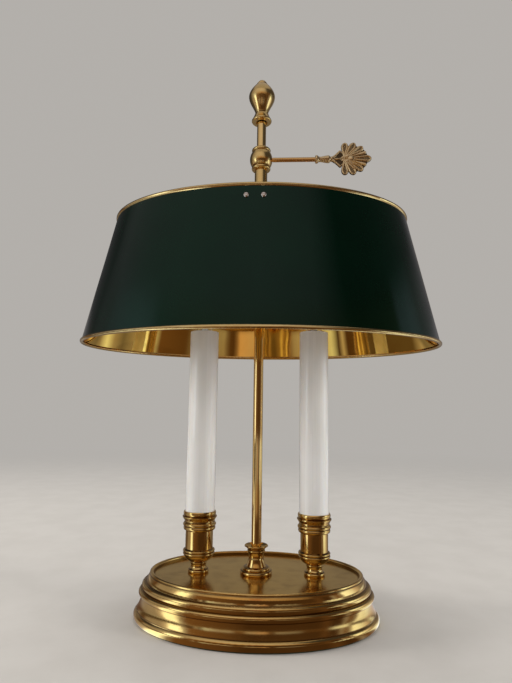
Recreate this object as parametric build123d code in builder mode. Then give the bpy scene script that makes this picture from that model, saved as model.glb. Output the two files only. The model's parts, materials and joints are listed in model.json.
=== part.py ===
"""Bouillotte lamp: an oval stepped brass base carries a round brass rod between two
candle lights. An oval enamelled shade hangs from a carriage that slides and turns on
the rod, and a key with a palmette handle screws through the carriage's collar to clamp it.

Millimetres. Z is up from the table, the rod stands on the Z axis, the key points to +X
and the shade's screws face -Y and +Y.
"""

import os
from math import atan2, cos, radians, sin, sqrt

from build123d import *

os.makedirs("parts", exist_ok=True)

# ---------------------------------------------------------------- fits
running_fit = 0.05  # radial clearance of pieces that turn or slide on each other
part_gap = 0.3  # free gap between pieces of different moving groups
hole_clear = 0.12  # radial clearance of a bolt or rod in its hole

# ---------------------------------------------------------------- rod
rod_r = 4.7625  # 3/8 inch tube
rod_bore_r = 3.25
rod_foot_z = 1.4

# ---------------------------------------------------------------- base
oval_ratio = 0.67  # depth over width of every oval in the base
felt_t = 1.2
deck_z = 38.8
deck_t = 2.5

# Mouldings, from the foot up. Each half width is a step from the one that carries it, and
# the heights of the upper mouldings are counted from the deck.
bead_half_w = 113.9  # the widest moulding
bead_z = 4.8
bead_foot_step = 1.2
bead_foot_half_w = bead_half_w - bead_foot_step
bead_top_step = 2.9
bead_top_half_w = bead_half_w - bead_top_step
bead_top_z = 8.6
felt_inset = 1.5
felt_half_w = bead_foot_half_w - felt_inset

wall_foot_step = 2.8
wall_foot_half_w = bead_half_w - wall_foot_step
wall_foot_z = 9.4
wall_mid_step = 2.6
wall_mid_half_w = wall_foot_half_w - wall_mid_step
wall_mid_z = 14.6
wall_top_step = 3.6
wall_top_half_w = wall_foot_half_w - wall_top_step
wall_top_drop = 18.0
wall_top_z = deck_z - wall_top_drop

torus_foot_step = 0.5
torus_foot_half_w = wall_top_half_w + torus_foot_step
torus_foot_drop = 17.6
torus_foot_z = deck_z - torus_foot_drop
torus_step = 2.2
torus_half_w = wall_top_half_w + torus_step
torus_drop = 14.8
torus_z = deck_z - torus_drop
torus_top_step = 0.1
torus_top_half_w = wall_top_half_w - torus_top_step
torus_top_drop = 12.1
torus_top_z = deck_z - torus_top_drop

roll_step = 2.7
roll_half_w = torus_half_w - roll_step
roll_drop = 9.4
roll_z = deck_z - roll_drop
roll_groove_step = 1.1
roll_groove_half_w = roll_half_w - roll_groove_step
roll_groove_drop = 11.8
roll_groove_z = deck_z - roll_groove_drop
roll_top_step = 3.5
roll_top_half_w = roll_half_w - roll_top_step
roll_top_drop = 5.8
roll_top_z = deck_z - roll_top_drop

ovolo_foot_step = 4.2
ovolo_foot_half_w = roll_half_w - ovolo_foot_step
ovolo_foot_drop = 5.5
ovolo_foot_z = deck_z - ovolo_foot_drop
ovolo_mid_step = 5.3
ovolo_mid_half_w = roll_half_w - ovolo_mid_step
ovolo_mid_drop = 2.2
ovolo_mid_z = deck_z - ovolo_mid_drop
ovolo_top_step = 7.1
ovolo_top_half_w = roll_half_w - ovolo_top_step
ovolo_top_rise = 0.5
ovolo_top_z = deck_z + ovolo_top_rise

rim_step = 7.0
rim_half_w = roll_half_w - rim_step
rim_w = 4.0
rim_inner_half_w = rim_half_w - rim_w
rim_rise = 3.2
rim_top_z = deck_z + rim_rise
rim_roll_rise = 1.4
rim_roll_z = deck_z + rim_roll_rise
rim_groove_step = 0.6
rim_groove_half_w = rim_half_w - rim_groove_step
rim_groove_rise = 1.1
rim_groove_z = deck_z + rim_groove_rise

# Inside of the shell.
shell_mouth_wall = 3.1
shell_mouth_half_w = bead_foot_half_w - shell_mouth_wall
shell_ledge_w = 2.2
shell_ledge_half_w = shell_mouth_half_w - shell_ledge_w
shell_ledge_z = 7.2
shell_waist_wall = 3.0
shell_waist_half_w = wall_top_half_w - shell_waist_wall
shell_waist_drop = 0.8
shell_waist_z = wall_top_z - shell_waist_drop
shell_shoulder_wall = 2.2
shell_shoulder_half_w = ovolo_foot_half_w - shell_shoulder_wall
shell_shoulder_drop = 1.8
shell_shoulder_z = ovolo_foot_z - shell_shoulder_drop
shell_roof_wall = 0.2
shell_roof_half_w = rim_inner_half_w - shell_roof_wall

plate_t = 1.2
plate_clear = 0.4
plate_half_w = shell_mouth_half_w - plate_clear
weight_half_w = 70.0
weight_half_d = 50.0
weight_t = 10.0
weight_hole_r = 6.0

# ---------------------------------------------------------------- nuts and washers
washer_t = 1.0
nut_t = 4.0
bottom_nut_t = 3.6
rod_nut_flats = 16.0
rod_washer_r = 9.5
nipple_nut_flats = 14.0
nipple_washer_r = 8.6

# ---------------------------------------------------------------- foot of the rod (turned)
spool_seat_r = 14.2
spool_disc_r = 15.1
spool_disc_h = 1.2
spool_ring_foot_h = 3.5
spool_ring_r = 12.7
spool_ring_base_r = 11.6
spool_ring_top_h = 6.3
spool_bell_r = 9.3
spool_bell_h = 6.8
spool_bell_mid_r = 8.1
spool_bell_mid_h = 9.8
spool_waist_r = 6.9
spool_waist_h = 15.6
spool_collar_r = 8.0
spool_collar_bead_r = 8.5
spool_collar_foot_h = 19.7
spool_collar_top_h = 21.5
spool_dish_neck_r = 8.1
spool_dish_r = 11.0
spool_dish_foot_h = 21.8
spool_dish_mid_r = 9.2
spool_dish_mid_h = 23.4
spool_dish_lip_h = 24.6
spool_lip_r = 11.25
spool_lip_inner_r = 10.6
spool_top_h = 25.8
spool_well_h = 24.1
spool_well_foot_h = 23.6

# ---------------------------------------------------------------- candle lights
candle_x = 54.9  # candle axis from the rod
sleeve_r = 14.1
sleeve_t = 1.6
sleeve_bore_r = sleeve_r - sleeve_t
sleeve_top_z = 269.0
sleeve_edge_r = 0.7

cup_foot_r = 9.2
cup_foot_bead_r = 9.9
cup_foot_bead_h = 1.5
cup_foot_top_r = 8.9
cup_foot_h = 3.2
cup_waist_r = 7.2
cup_waist_h = 6.0
cup_ring_r = 7.6
cup_ring_bead_r = 8.1
cup_ring_foot_h = 8.3
cup_ring_top_h = 10.2
cup_bowl_mid_r = 11.9
cup_bowl_mid_h = 12.5
cup_bowl_step = 0.1
cup_bowl_r = sleeve_r - cup_bowl_step
cup_bowl_h = 16.2
cup_reed_step = 0.2
cup_reed_r = sleeve_r + cup_reed_step
cup_reed_bulge = 0.8
cup_reeds = 2
cup_reeds_top_h = 21.2
cup_body_step = 1.0
cup_body_r = sleeve_r - cup_body_step
cup_body_foot_h = 22.0
cup_body_top_h = 38.2
cup_band_step = 0.6
cup_band_r = sleeve_r + cup_band_step
cup_low_bead_bulge = 0.6
cup_low_bead_r = cup_band_r + cup_low_bead_bulge
cup_high_bead_bulge = 1.1
cup_high_bead_r = cup_band_r + cup_high_bead_bulge
cup_band_foot_h = 39.1
cup_band_mid_h = 42.4
cup_band_top_h = 45.7
cup_groove_step = 0.5
cup_groove_r = sleeve_r + cup_groove_step
cup_groove_foot_h = 46.5
cup_groove_top_h = 47.7
cup_flange_step = 2.3
cup_flange_r = sleeve_r + cup_flange_step
cup_flange_foot_h = 50.6
cup_flange_top_h = 51.4
cup_lip_t = 0.9
cup_lip_r = sleeve_r + cup_lip_t
cup_lip_bulge = 0.6
cup_lip_bead_r = cup_lip_r + cup_lip_bulge
cup_lip_foot_h = 52.0
cup_lip_top_h = 56.2
cup_ledge_w = 0.8
cup_bore_r = sleeve_bore_r - cup_ledge_w
cup_floor_h = 15.2
cup_ledge_h = 50.4

nipple_r = 5.1
nipple_bore_r = 3.3
nipple_tail_l = 1.8  # length of nipple beyond the nut under the deck
nipple_foot_z = deck_z - deck_t - washer_t - nut_t - nipple_tail_l
nipple_tip_l = 4.5  # length of nipple beyond the nut in the cup

bracket_t = 1.5
nipple_top_z = deck_z + cup_floor_h + bracket_t + nut_t + nipple_tip_l
bracket_w = 8.0
bracket_foot_r = 8.0
bracket_strip_inset = 2.7  # of the strip's inner face from the cup's bore
bracket_strip_y = cup_bore_r - bracket_strip_inset
bracket_tab_back = 5.0
socket_recess = 3.0  # of the socket's top in the sleeve
socket_top_z = sleeve_top_z - socket_recess
socket_l = 34.0
socket_foot_z = socket_top_z - socket_l
socket_clear = 1.3
socket_r = sleeve_bore_r - socket_clear
socket_edge = 0.8
socket_floor_t = 10.0
socket_floor_z = socket_foot_z + socket_floor_t
shell_t = 0.4
shell_l = 20.0
shell_mouth_r = 5.6
bulb_thread_r = 5.95
bulb_thread_clear = 0.1
bulb_seat_gap = 0.6
bulb_thread_top_z = socket_top_z + bulb_seat_gap
bulb_base_l = 20.8
bulb_tip_z = bulb_thread_top_z - bulb_base_l
bulb_tip_r = 2.6
bulb_tip_h = 0.8
bulb_taper_h = 3.0
contact_w = 3.0
contact_l = 8.0
contact_t = 0.5
rivet_r = 1.6
rivet_head_r = 2.6
rivet_head_t = 1.2
rivet_l = 5.0
glass_t = 0.8
glass_neck_r = 6.9
glass_belly_r = 16.0
glass_belly_h = 25.4
glass_shoulder_r = 11.4
glass_shoulder_h = 48.4
glass_h = 69.4
glass_tip_z = bulb_thread_top_z + glass_h
glass_tip_r = 1.6
glass_foot_slope = (0.25, 1)
glass_tip_slope = (-0.35, 1)

# ---------------------------------------------------------------- wiring
lead_r = 1.2
lead_spread = 6.5  # of the two leads below the socket, from the candle axis
lead_pair = 1.5  # of the two leads in the nipple
lead_in_socket = 7.0  # length of each lead inside the socket's floor
lead_top_z = socket_foot_z + lead_in_socket
lead_merge_rise = 6.0
lead_merge_z = nipple_top_z + lead_merge_rise
lead_fan_h = 22.0
lead_fan_z = lead_merge_z + lead_fan_h
lead_fan_bend = 12.0
lead_bend = 5.0
lead_loop_bend = 4.0
connector_r = 5.2
connector_tip_r = 3.4
connector_l = 20.0
connector_bore_r = 3.4
connector_bore_l = 13.0
connector_mouth_x = 12.0
connector_y = 24.0
splice_spread = 1.4
splice_drop = 0.8
splice_rise = 1.7
loop_y = 34.0
loop_x = 28.0
line_connector_mouth_x = -6.0
line_connector_y = 43.5
load_turn_x = 3.5  # steps of the load lead's long run from the end of its straight stretch
load_turn_y = 6.5
load_run_z = 27.3
load_drop_x = 22.0
line_run_x = 18.0
switch_lead_clear = 7.0  # straight run of each lead behind the switch
switch_lead_bend = 3.0
switch_run_bend = 6.0

# ---------------------------------------------------------------- switch and cord inlet
switch_x = 42.0
switch_z = 15.4
switch_body_r = 7.6
switch_body_l = 15.0
switch_body_edge = 0.6
switch_seat = 2.4  # depth of the switch's inner seat below the wall's face
switch_face = 0.5  # depth of the outer spot face
switch_neck_r = 4.6
switch_neck_l = 4.6
ring_nut_r = 5.9
ring_nut_t = 1.8
ring_nut_edge = 0.3
stem_r = 2.0
stem_in = 7.0
knob_r = 6.4
knob_waist_r = 5.2
knob_l = 11.0
knob_taper_l = 3.85
knob_socket_l = 5.5
knob_edge = 1.0
knob_gap = 0.6
knob_flutes = 20
knob_flute_r = 0.45
switch_lead_spread = 4.2
switch_lead_rise = 3.4
bushing_z = 15.2
bushing_bore_r = 3.6
bushing_r = 5.0
bushing_flange_r = 6.2
bushing_flange_out = 2.0
bushing_flange_t = 3.2
bushing_catch_r = 5.9
bushing_catch_t = 2.2
bushing_edge_r = 0.8
bushing_inner_y = 68.0

# ---------------------------------------------------------------- carriage on the rod
slide_down = 35.0  # travel of the carriage down to the bulbs
slide_up = 30.2  # travel of the carriage up to the finial
bulb_stop_gap = 3.0
crossbar_z = glass_tip_z + slide_down + bulb_stop_gap  # underside of the crossbar
collar_rise = 67.8  # of the collar's foot above the crossbar
collar_foot_z = crossbar_z + collar_rise
collar_h = 23.6
collar_top_z = collar_foot_z + collar_h
finial_stop_gap = 0.4
finial_foot_z = collar_top_z + slide_up + finial_stop_gap
finial_grip_l = 17.7  # length of rod inside the finial
rod_top_z = finial_foot_z + finial_grip_l
collar_foot_ring_r = 9.0
collar_foot_bead_r = 9.9
collar_foot_ring_h = 3.4
collar_ball_r = 11.9
collar_ball_end_r = 9.6
collar_ball_foot_h = 4.0
collar_ball_top_h = 19.6
collar_top_ring_foot_h = 20.2
collar_top_ring_r = 9.1
collar_top_bead_r = 9.9
collar_socket_h = 6.0

tube_clear = 0.54  # radial clearance of the tube round the rod
tube_bore_r = rod_r + tube_clear
bushing_pocket_t = 0.65  # depth of the bushing's pocket in the tube's bore
bushing_pocket_r = tube_bore_r + bushing_pocket_t
bushing_pocket_l = 14.0
tube_t = 1.3
tube_r = tube_bore_r + tube_t
tube_tail_l = 11.0  # length of tube below the crossbar
tube_foot_z = crossbar_z - tube_tail_l
end_cap_wall_t = 1.7
end_cap_r = tube_r + end_cap_wall_t
end_cap_edge = 0.6
end_cap_floor_t = 1.6
end_cap_h = 5.6
crossbar_t = 2.0
crossbar_w = 25.0
crossbar_leg_l = 10.0
crossbar_leg_z = crossbar_z - crossbar_leg_l
shoulder_r = 9.6
shoulder_t = 3.0
crossbar_nut_flats = 19.0
crossbar_nut_t = 4.0

# ---------------------------------------------------------------- shade
shade_h = 126.0
shade_head_rise = 7.5  # of the shade's top above the crossbar's underside
shade_head_z = crossbar_z + shade_head_rise
shade_foot_z = shade_head_z - shade_h
shade_foot_a = 176.0
shade_foot_b = 117.0
shade_head_a = 147.0
shade_head_b = 97.6
shade_t = 0.8
rim_bead_r = 1.8
shade_screw_x = 7.4
shade_screw_drop = 3.2  # of the screws below the crossbar's underside
shade_screw_z = crossbar_z - shade_screw_drop
screw_r = 1.5
screw_head_r = 2.5
screw_head_h = 1.7
screw_brow_r = 2.15
screw_brow_h = 1.05
screw_crown_r = 1.05
screw_slot_w = 0.6
screw_slot_d = 0.7
screw_seat = 0.12
screw_tail = 1.0
shade_nut_flats = 5.5
shade_nut_t = 2.2

# ---------------------------------------------------------------- key
key_rise = 11.8  # of the key's axis above the collar's foot
key_z = collar_foot_z + key_rise
key_thread_r = 2.0
key_rod_r = 2.35
key_shoulder_gap = 0.4
key_shoulder_x = collar_ball_r + key_shoulder_gap
key_rod_l = 46.1  # length of rod that shows
key_ferrule_x = key_shoulder_x + key_rod_l
key_socket_l = 5.6  # length of rod inside the handle
key_rod_end_x = key_ferrule_x + key_socket_l
key_ferrule_r = 4.3
key_ferrule_l = 1.4
key_waist_l = 4.6
key_waist_x = key_ferrule_x + key_waist_l
key_waist_r = 3.2
key_bulge_l = 12.6
key_bulge_x = key_ferrule_x + key_bulge_l
key_bulge_r = 4.4
key_calyx_l = 16.6
key_calyx_x = key_ferrule_x + key_calyx_l
key_calyx_r = 3.6
key_calyx_end_l = 26.6
key_calyx_end_x = key_ferrule_x + key_calyx_end_l
key_calyx_end_r = 1.1
fan_root_l = 28.6
fan_root_x = key_ferrule_x + fan_root_l
fan_t = 3.4
fan_core_r = 3.4
fan_boss_r = 1.7
fan_boss_l = 36.2
fan_boss_x = key_ferrule_x + fan_boss_l
fan_boss_h = 0.8
petal_angles = (0.0, 17.5, 33.0, 55.0, 86.0)
petal_lengths = (28.4, 25.2, 23.3, 19.9, 17.2)
petal_widths = (6.4, 6.0, 6.4, 7.0, 7.0)
petal_root_w = 1.6
petal_recess = 0.9
petal_border = 1.1
web_t = 1.8
web_reach = 0.88  # share of the petals' length that the web behind them reaches
web_swell = 1.35  # width of the web behind a petal over the petal's own
leaf_l = 10.5
leaf_w = 4.2
leaf_place_l = 22.6
leaf_x = key_ferrule_x + leaf_place_l
leaf_y = 4.6
leaf_tilt = 24.0

# ---------------------------------------------------------------- finial (turned)
finial_mouth_r = 6.1
finial_mouth_h = 3.4
finial_lip_r = 10.6
finial_lip_foot_r = 9.1
finial_lip_h = 1.5
finial_lip_top_r = 10.1
finial_lip_top_h = 2.9
finial_bell_mid_r = 9.0
finial_bell_mid_h = 5.0
finial_bell_r = 7.4
finial_bell_h = 9.0
finial_neck_r = 6.2
finial_neck_h = 9.9
finial_egg_foot_r = 6.7
finial_egg_foot_h = 10.9
finial_egg_low_r = 10.6
finial_egg_low_h = 19.7
finial_egg_r = 13.9
finial_egg_h = 30.4
finial_egg_high_r = 11.2
finial_egg_high_h = 37.0
finial_egg_top_r = 7.2
finial_egg_top_h = 42.3
finial_groove_r = 5.6
finial_groove_h = 43.1
finial_cap_r = 5.8
finial_cap_h = 43.7
finial_cap_edge_h = 0.8
finial_cap_top_r = 3.7
finial_cap_top_h = 47.4
finial_h = 48.8


# ================================================================ shared shapes
def side_plane(axis_x=0.0):
    """Upright drawing plane through a vertical axis: local x is the radius, local y is Z."""
    return Plane(origin=(axis_x, 0, 0), x_dir=(1, 0, 0), z_dir=(0, -1, 0))


def upright(axis_x=0.0):
    return Axis((axis_x, 0, 0), (0, 0, 1))


def hex_nuts(foot_z, flats, thickness, hole_r, centres):
    with BuildPart() as nuts:
        with BuildSketch(Plane.XY.offset(foot_z)):
            with Locations(*centres):
                RegularPolygon(flats / 2, 6, major_radius=False)
                Circle(hole_r, mode=Mode.SUBTRACT)
        extrude(amount=thickness)
    return nuts.part


def washers(foot_z, outer_r, hole_r, thickness, centres):
    with BuildPart() as rings:
        with BuildSketch(Plane.XY.offset(foot_z)):
            with Locations(*centres):
                Circle(outer_r)
                Circle(hole_r, mode=Mode.SUBTRACT)
        extrude(amount=thickness)
    return rings.part


def lead(points, bends):
    """One insulated wire along straight runs joined by round bends."""
    with BuildPart() as wire:
        with BuildLine() as route:
            FilletPolyline(*points, radius=bends)
        with BuildSketch(Plane(origin=route.line @ 0, z_dir=route.line % 0)):
            Circle(lead_r)
        sweep(path=route.line)
    return wire.part


def save(piece, label):
    piece.label = label
    export_step(piece, f"parts/{label}.step")


def wall_oval(z):
    """Half width and half depth of the shade's outside at height z."""
    share = (z - shade_foot_z) / (shade_head_z - shade_foot_z)
    half_w = shade_foot_a + (shade_head_a - shade_foot_a) * share
    half_d = shade_foot_b + (shade_head_b - shade_foot_b) * share
    return half_w, half_d


candle_axes = ((-candle_x, 0), (candle_x, 0))
rod_axis = ((0, 0),)
plate_z = shell_ledge_z - plate_t
weight_top_z = shell_ledge_z + weight_t
roof_z = deck_z - deck_t

# ================================================================ base
with BuildPart() as base_felt:
    with BuildSketch():
        Ellipse(felt_half_w, felt_half_w * oval_ratio)
    extrude(amount=felt_t)
save(base_felt.part, "base_felt")

with BuildPart() as base_shell:
    with BuildSketch(side_plane()):
        with BuildLine():
            Line((0, roof_z), (shell_roof_half_w, roof_z))
            Line((shell_roof_half_w, roof_z), (shell_shoulder_half_w, shell_shoulder_z))
            Line((shell_shoulder_half_w, shell_shoulder_z), (shell_waist_half_w, shell_waist_z))
            Line((shell_waist_half_w, shell_waist_z), (shell_ledge_half_w, shell_ledge_z))
            Line((shell_ledge_half_w, shell_ledge_z), (shell_mouth_half_w, shell_ledge_z))
            Line((shell_mouth_half_w, shell_ledge_z), (shell_mouth_half_w, felt_t))
            Line((shell_mouth_half_w, felt_t), (bead_foot_half_w, felt_t))
            ThreePointArc(
                (bead_foot_half_w, felt_t), (bead_half_w, bead_z), (bead_top_half_w, bead_top_z)
            )
            Line((bead_top_half_w, bead_top_z), (wall_foot_half_w, wall_foot_z))
            ThreePointArc(
                (wall_foot_half_w, wall_foot_z),
                (wall_mid_half_w, wall_mid_z),
                (wall_top_half_w, wall_top_z),
            )
            Line((wall_top_half_w, wall_top_z), (torus_foot_half_w, torus_foot_z))
            ThreePointArc(
                (torus_foot_half_w, torus_foot_z),
                (torus_half_w, torus_z),
                (torus_top_half_w, torus_top_z),
            )
            Line((torus_top_half_w, torus_top_z), (roll_groove_half_w, roll_groove_z))
            ThreePointArc(
                (roll_groove_half_w, roll_groove_z),
                (roll_half_w, roll_z),
                (roll_top_half_w, roll_top_z),
            )
            Line((roll_top_half_w, roll_top_z), (ovolo_foot_half_w, ovolo_foot_z))
            ThreePointArc(
                (ovolo_foot_half_w, ovolo_foot_z),
                (ovolo_mid_half_w, ovolo_mid_z),
                (ovolo_top_half_w, ovolo_top_z),
            )
            Line((ovolo_top_half_w, ovolo_top_z), (rim_groove_half_w, rim_groove_z))
            Line((rim_groove_half_w, rim_groove_z), (rim_half_w, rim_roll_z))
            ThreePointArc(
                (rim_half_w, rim_roll_z),
                ((rim_half_w + rim_inner_half_w) / 2, rim_top_z),
                (rim_inner_half_w, rim_roll_z),
            )
            Line((rim_inner_half_w, rim_roll_z), (rim_inner_half_w, deck_z))
            Line((rim_inner_half_w, deck_z), (0, deck_z))
            Line((0, deck_z), (0, roof_z))
        make_face()
    revolve(axis=Axis.Z)
    scale(by=(1, oval_ratio, 1), mode=Mode.REPLACE)
    with BuildSketch(Plane.XY.offset(deck_z)):
        Circle(rod_r + hole_clear)
        with Locations(*candle_axes):
            Circle(nipple_r + hole_clear)
    extrude(amount=-deck_t, mode=Mode.SUBTRACT)

with BuildPart() as bottom_plate:
    with BuildSketch(Plane.XY.offset(plate_z)):
        Ellipse(plate_half_w, plate_half_w * oval_ratio)
        Circle(rod_r + hole_clear, mode=Mode.SUBTRACT)
    extrude(amount=plate_t)
save(bottom_plate.part, "bottom_plate")

with BuildPart() as base_weight:
    with BuildSketch(Plane.XY.offset(shell_ledge_z)):
        Ellipse(weight_half_w, weight_half_d)
        Circle(weight_hole_r, mode=Mode.SUBTRACT)
    extrude(amount=weight_t)
save(base_weight.part, "base_weight")

# ---------------------------------------------------------------- switch in the back wall
# The wall is a shallow arc in section and an oval in plan, so the axis of the switch is
# square to the oval at the switch.
wall_half_w = wall_mid_half_w
wall_half_d = wall_mid_half_w * oval_ratio
switch_y = wall_half_d * sqrt(1 - (switch_x / wall_half_w) ** 2)
switch_out = Vector(switch_x / wall_half_w**2, switch_y / wall_half_d**2, 0).normalized()
switch_plane = Plane(
    origin=(switch_x, switch_y, switch_z), x_dir=switch_out.cross(Vector(0, 0, 1)), z_dir=switch_out
)
switch_axis = Axis(switch_plane.origin, switch_out)

with BuildPart() as switch_body:
    with BuildSketch(switch_plane.offset(-switch_seat - switch_body_l)):
        Circle(switch_body_r)
    extrude(amount=switch_body_l)
    chamfer(switch_body.edges().filter_by(GeomType.CIRCLE), length=switch_body_edge)
    with BuildSketch(switch_plane.offset(-switch_seat)):
        Circle(switch_neck_r)
    extrude(amount=switch_neck_l)
    with BuildSketch(switch_plane.offset(switch_neck_l - switch_seat)):
        Circle(stem_r + running_fit)
    extrude(amount=-switch_neck_l - stem_in, mode=Mode.SUBTRACT)
save(switch_body.part, "switch_body")

with BuildPart() as switch_ring_nut:
    with BuildSketch(switch_plane.offset(-switch_face)):
        Circle(ring_nut_r)
        Circle(switch_neck_r, mode=Mode.SUBTRACT)
    extrude(amount=ring_nut_t)
    outer_face = switch_ring_nut.faces().sort_by(switch_axis)[-1]
    chamfer(outer_face.outer_wire().edges(), length=ring_nut_edge)
save(switch_ring_nut.part, "switch_ring_nut")

with BuildPart() as switch_stem:
    with BuildSketch(switch_plane.offset(-switch_seat - stem_in + part_gap)):
        Circle(stem_r)
    extrude(amount=switch_neck_l + stem_in - part_gap + knob_gap + knob_socket_l)
save(switch_stem.part, "switch_stem")

knob_plane = switch_plane.offset(switch_neck_l - switch_seat + knob_gap)
with BuildPart() as switch_knob:
    with BuildSketch(knob_plane):
        Circle(knob_waist_r)
    with BuildSketch(knob_plane.offset(knob_taper_l)):
        Circle(knob_r)
    loft()
    with BuildSketch(knob_plane.offset(knob_taper_l)):
        Circle(knob_r)
    extrude(amount=knob_l - knob_taper_l)
    chamfer(switch_knob.faces().sort_by(switch_axis)[-1].edges(), length=knob_edge)
    with BuildSketch(knob_plane):
        with PolarLocations(knob_r, knob_flutes):
            Circle(knob_flute_r)
    extrude(amount=knob_l, mode=Mode.SUBTRACT)
    with BuildSketch(knob_plane):
        Circle(stem_r)
    extrude(amount=knob_socket_l, mode=Mode.SUBTRACT)
save(switch_knob.part, "switch_knob")

# ---------------------------------------------------------------- cord inlet in the back wall
back_plane = Plane(origin=(0, 0, bushing_z), x_dir=(-1, 0, 0), z_dir=(0, 1, 0))
bushing_outer_y = wall_foot_half_w * oval_ratio + bushing_flange_out

# The shell's wall is drilled for the switch, spot-faced for its seat and ring nut, and
# drilled for the cord bushing.
with base_shell:
    with BuildSketch(switch_plane):
        Circle(switch_neck_r + hole_clear)
    extrude(amount=switch_neck_l * 2, both=True, mode=Mode.SUBTRACT)
    with BuildSketch(switch_plane.offset(-switch_seat)):
        Circle(switch_body_r + hole_clear)
    extrude(amount=-switch_body_l, mode=Mode.SUBTRACT)
    with BuildSketch(switch_plane.offset(-switch_face)):
        Circle(ring_nut_r + hole_clear)
    extrude(amount=switch_neck_l, mode=Mode.SUBTRACT)
    with BuildSketch(back_plane.offset(bushing_inner_y)):
        Circle(bushing_r)
    extrude(amount=bushing_outer_y - bushing_inner_y, mode=Mode.SUBTRACT)
save(base_shell.part, "base_shell")

with BuildPart() as cord_bushing:
    with BuildSketch(back_plane.offset(bushing_inner_y)):
        Circle(bushing_r)
    extrude(amount=bushing_outer_y - bushing_inner_y)
    with BuildSketch(back_plane.offset(bushing_inner_y)):
        Circle(bushing_catch_r)
    extrude(amount=bushing_catch_t)
    with BuildSketch(back_plane.offset(bushing_outer_y)):
        Circle(bushing_flange_r)
    extrude(amount=-bushing_flange_t)
    fillet(cord_bushing.edges().filter_by(GeomType.CIRCLE).group_by(Axis.Y)[-1], radius=bushing_edge_r)
    with BuildSketch(back_plane.offset(bushing_inner_y)):
        Circle(bushing_bore_r)
    extrude(amount=bushing_outer_y - bushing_inner_y, mode=Mode.SUBTRACT)
    add(base_shell.part, mode=Mode.SUBTRACT)
save(cord_bushing.part, "cord_bushing")

# ================================================================ rod and its fastenings
with BuildPart() as column_rod:
    with BuildSketch(Plane.XY.offset(rod_foot_z)):
        Circle(rod_r)
        Circle(rod_bore_r, mode=Mode.SUBTRACT)
    extrude(amount=rod_top_z - rod_foot_z)
save(column_rod.part, "column_rod")

with BuildPart() as column_foot:
    with BuildSketch(side_plane()):
        with BuildLine():
            Line((rod_r, deck_z), (spool_seat_r, deck_z))
            ThreePointArc(
                (spool_seat_r, deck_z),
                (spool_disc_r, deck_z + spool_disc_h),
                (spool_ring_base_r, deck_z + spool_ring_foot_h),
            )
            ThreePointArc(
                (spool_ring_base_r, deck_z + spool_ring_foot_h),
                (spool_ring_r, deck_z + (spool_ring_foot_h + spool_ring_top_h) / 2),
                (spool_ring_base_r, deck_z + spool_ring_top_h),
            )
            Line((spool_ring_base_r, deck_z + spool_ring_top_h), (spool_bell_r, deck_z + spool_bell_h))
            Spline(
                (spool_bell_r, deck_z + spool_bell_h),
                (spool_bell_mid_r, deck_z + spool_bell_mid_h),
                (spool_waist_r, deck_z + spool_waist_h),
                (spool_collar_r, deck_z + spool_collar_foot_h),
            )
            ThreePointArc(
                (spool_collar_r, deck_z + spool_collar_foot_h),
                (spool_collar_bead_r, deck_z + (spool_collar_foot_h + spool_collar_top_h) / 2),
                (spool_collar_r, deck_z + spool_collar_top_h),
            )
            Line(
                (spool_collar_r, deck_z + spool_collar_top_h),
                (spool_dish_neck_r, deck_z + spool_dish_foot_h),
            )
            ThreePointArc(
                (spool_dish_neck_r, deck_z + spool_dish_foot_h),
                (spool_dish_mid_r, deck_z + spool_dish_mid_h),
                (spool_dish_r, deck_z + spool_dish_lip_h),
            )
            ThreePointArc(
                (spool_dish_r, deck_z + spool_dish_lip_h),
                (spool_lip_r, deck_z + (spool_dish_lip_h + spool_top_h) / 2),
                (spool_lip_inner_r, deck_z + spool_top_h),
            )
            ThreePointArc(
                (spool_lip_inner_r, deck_z + spool_top_h),
                ((spool_dish_r + rod_r) / 2, deck_z + spool_well_h),
                (rod_r, deck_z + spool_well_foot_h),
            )
            Line((rod_r, deck_z + spool_well_foot_h), (rod_r, deck_z))
        make_face()
    revolve(axis=Axis.Z)
save(column_foot.part, "column_foot")

rod_hole_r = rod_r
save(washers(roof_z - washer_t, rod_washer_r, rod_hole_r, washer_t, rod_axis), "column_washer")
save(
    hex_nuts(roof_z - washer_t - nut_t, rod_nut_flats, nut_t, rod_hole_r, rod_axis),
    "column_nut",
)
save(hex_nuts(weight_top_z, rod_nut_flats, nut_t, rod_hole_r, rod_axis), "weight_nut")
save(washers(plate_z - washer_t, rod_washer_r, rod_hole_r, washer_t, rod_axis), "bottom_washer")
save(
    hex_nuts(rod_foot_z, rod_nut_flats, bottom_nut_t, rod_hole_r, rod_axis),
    "bottom_nut",
)

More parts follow.
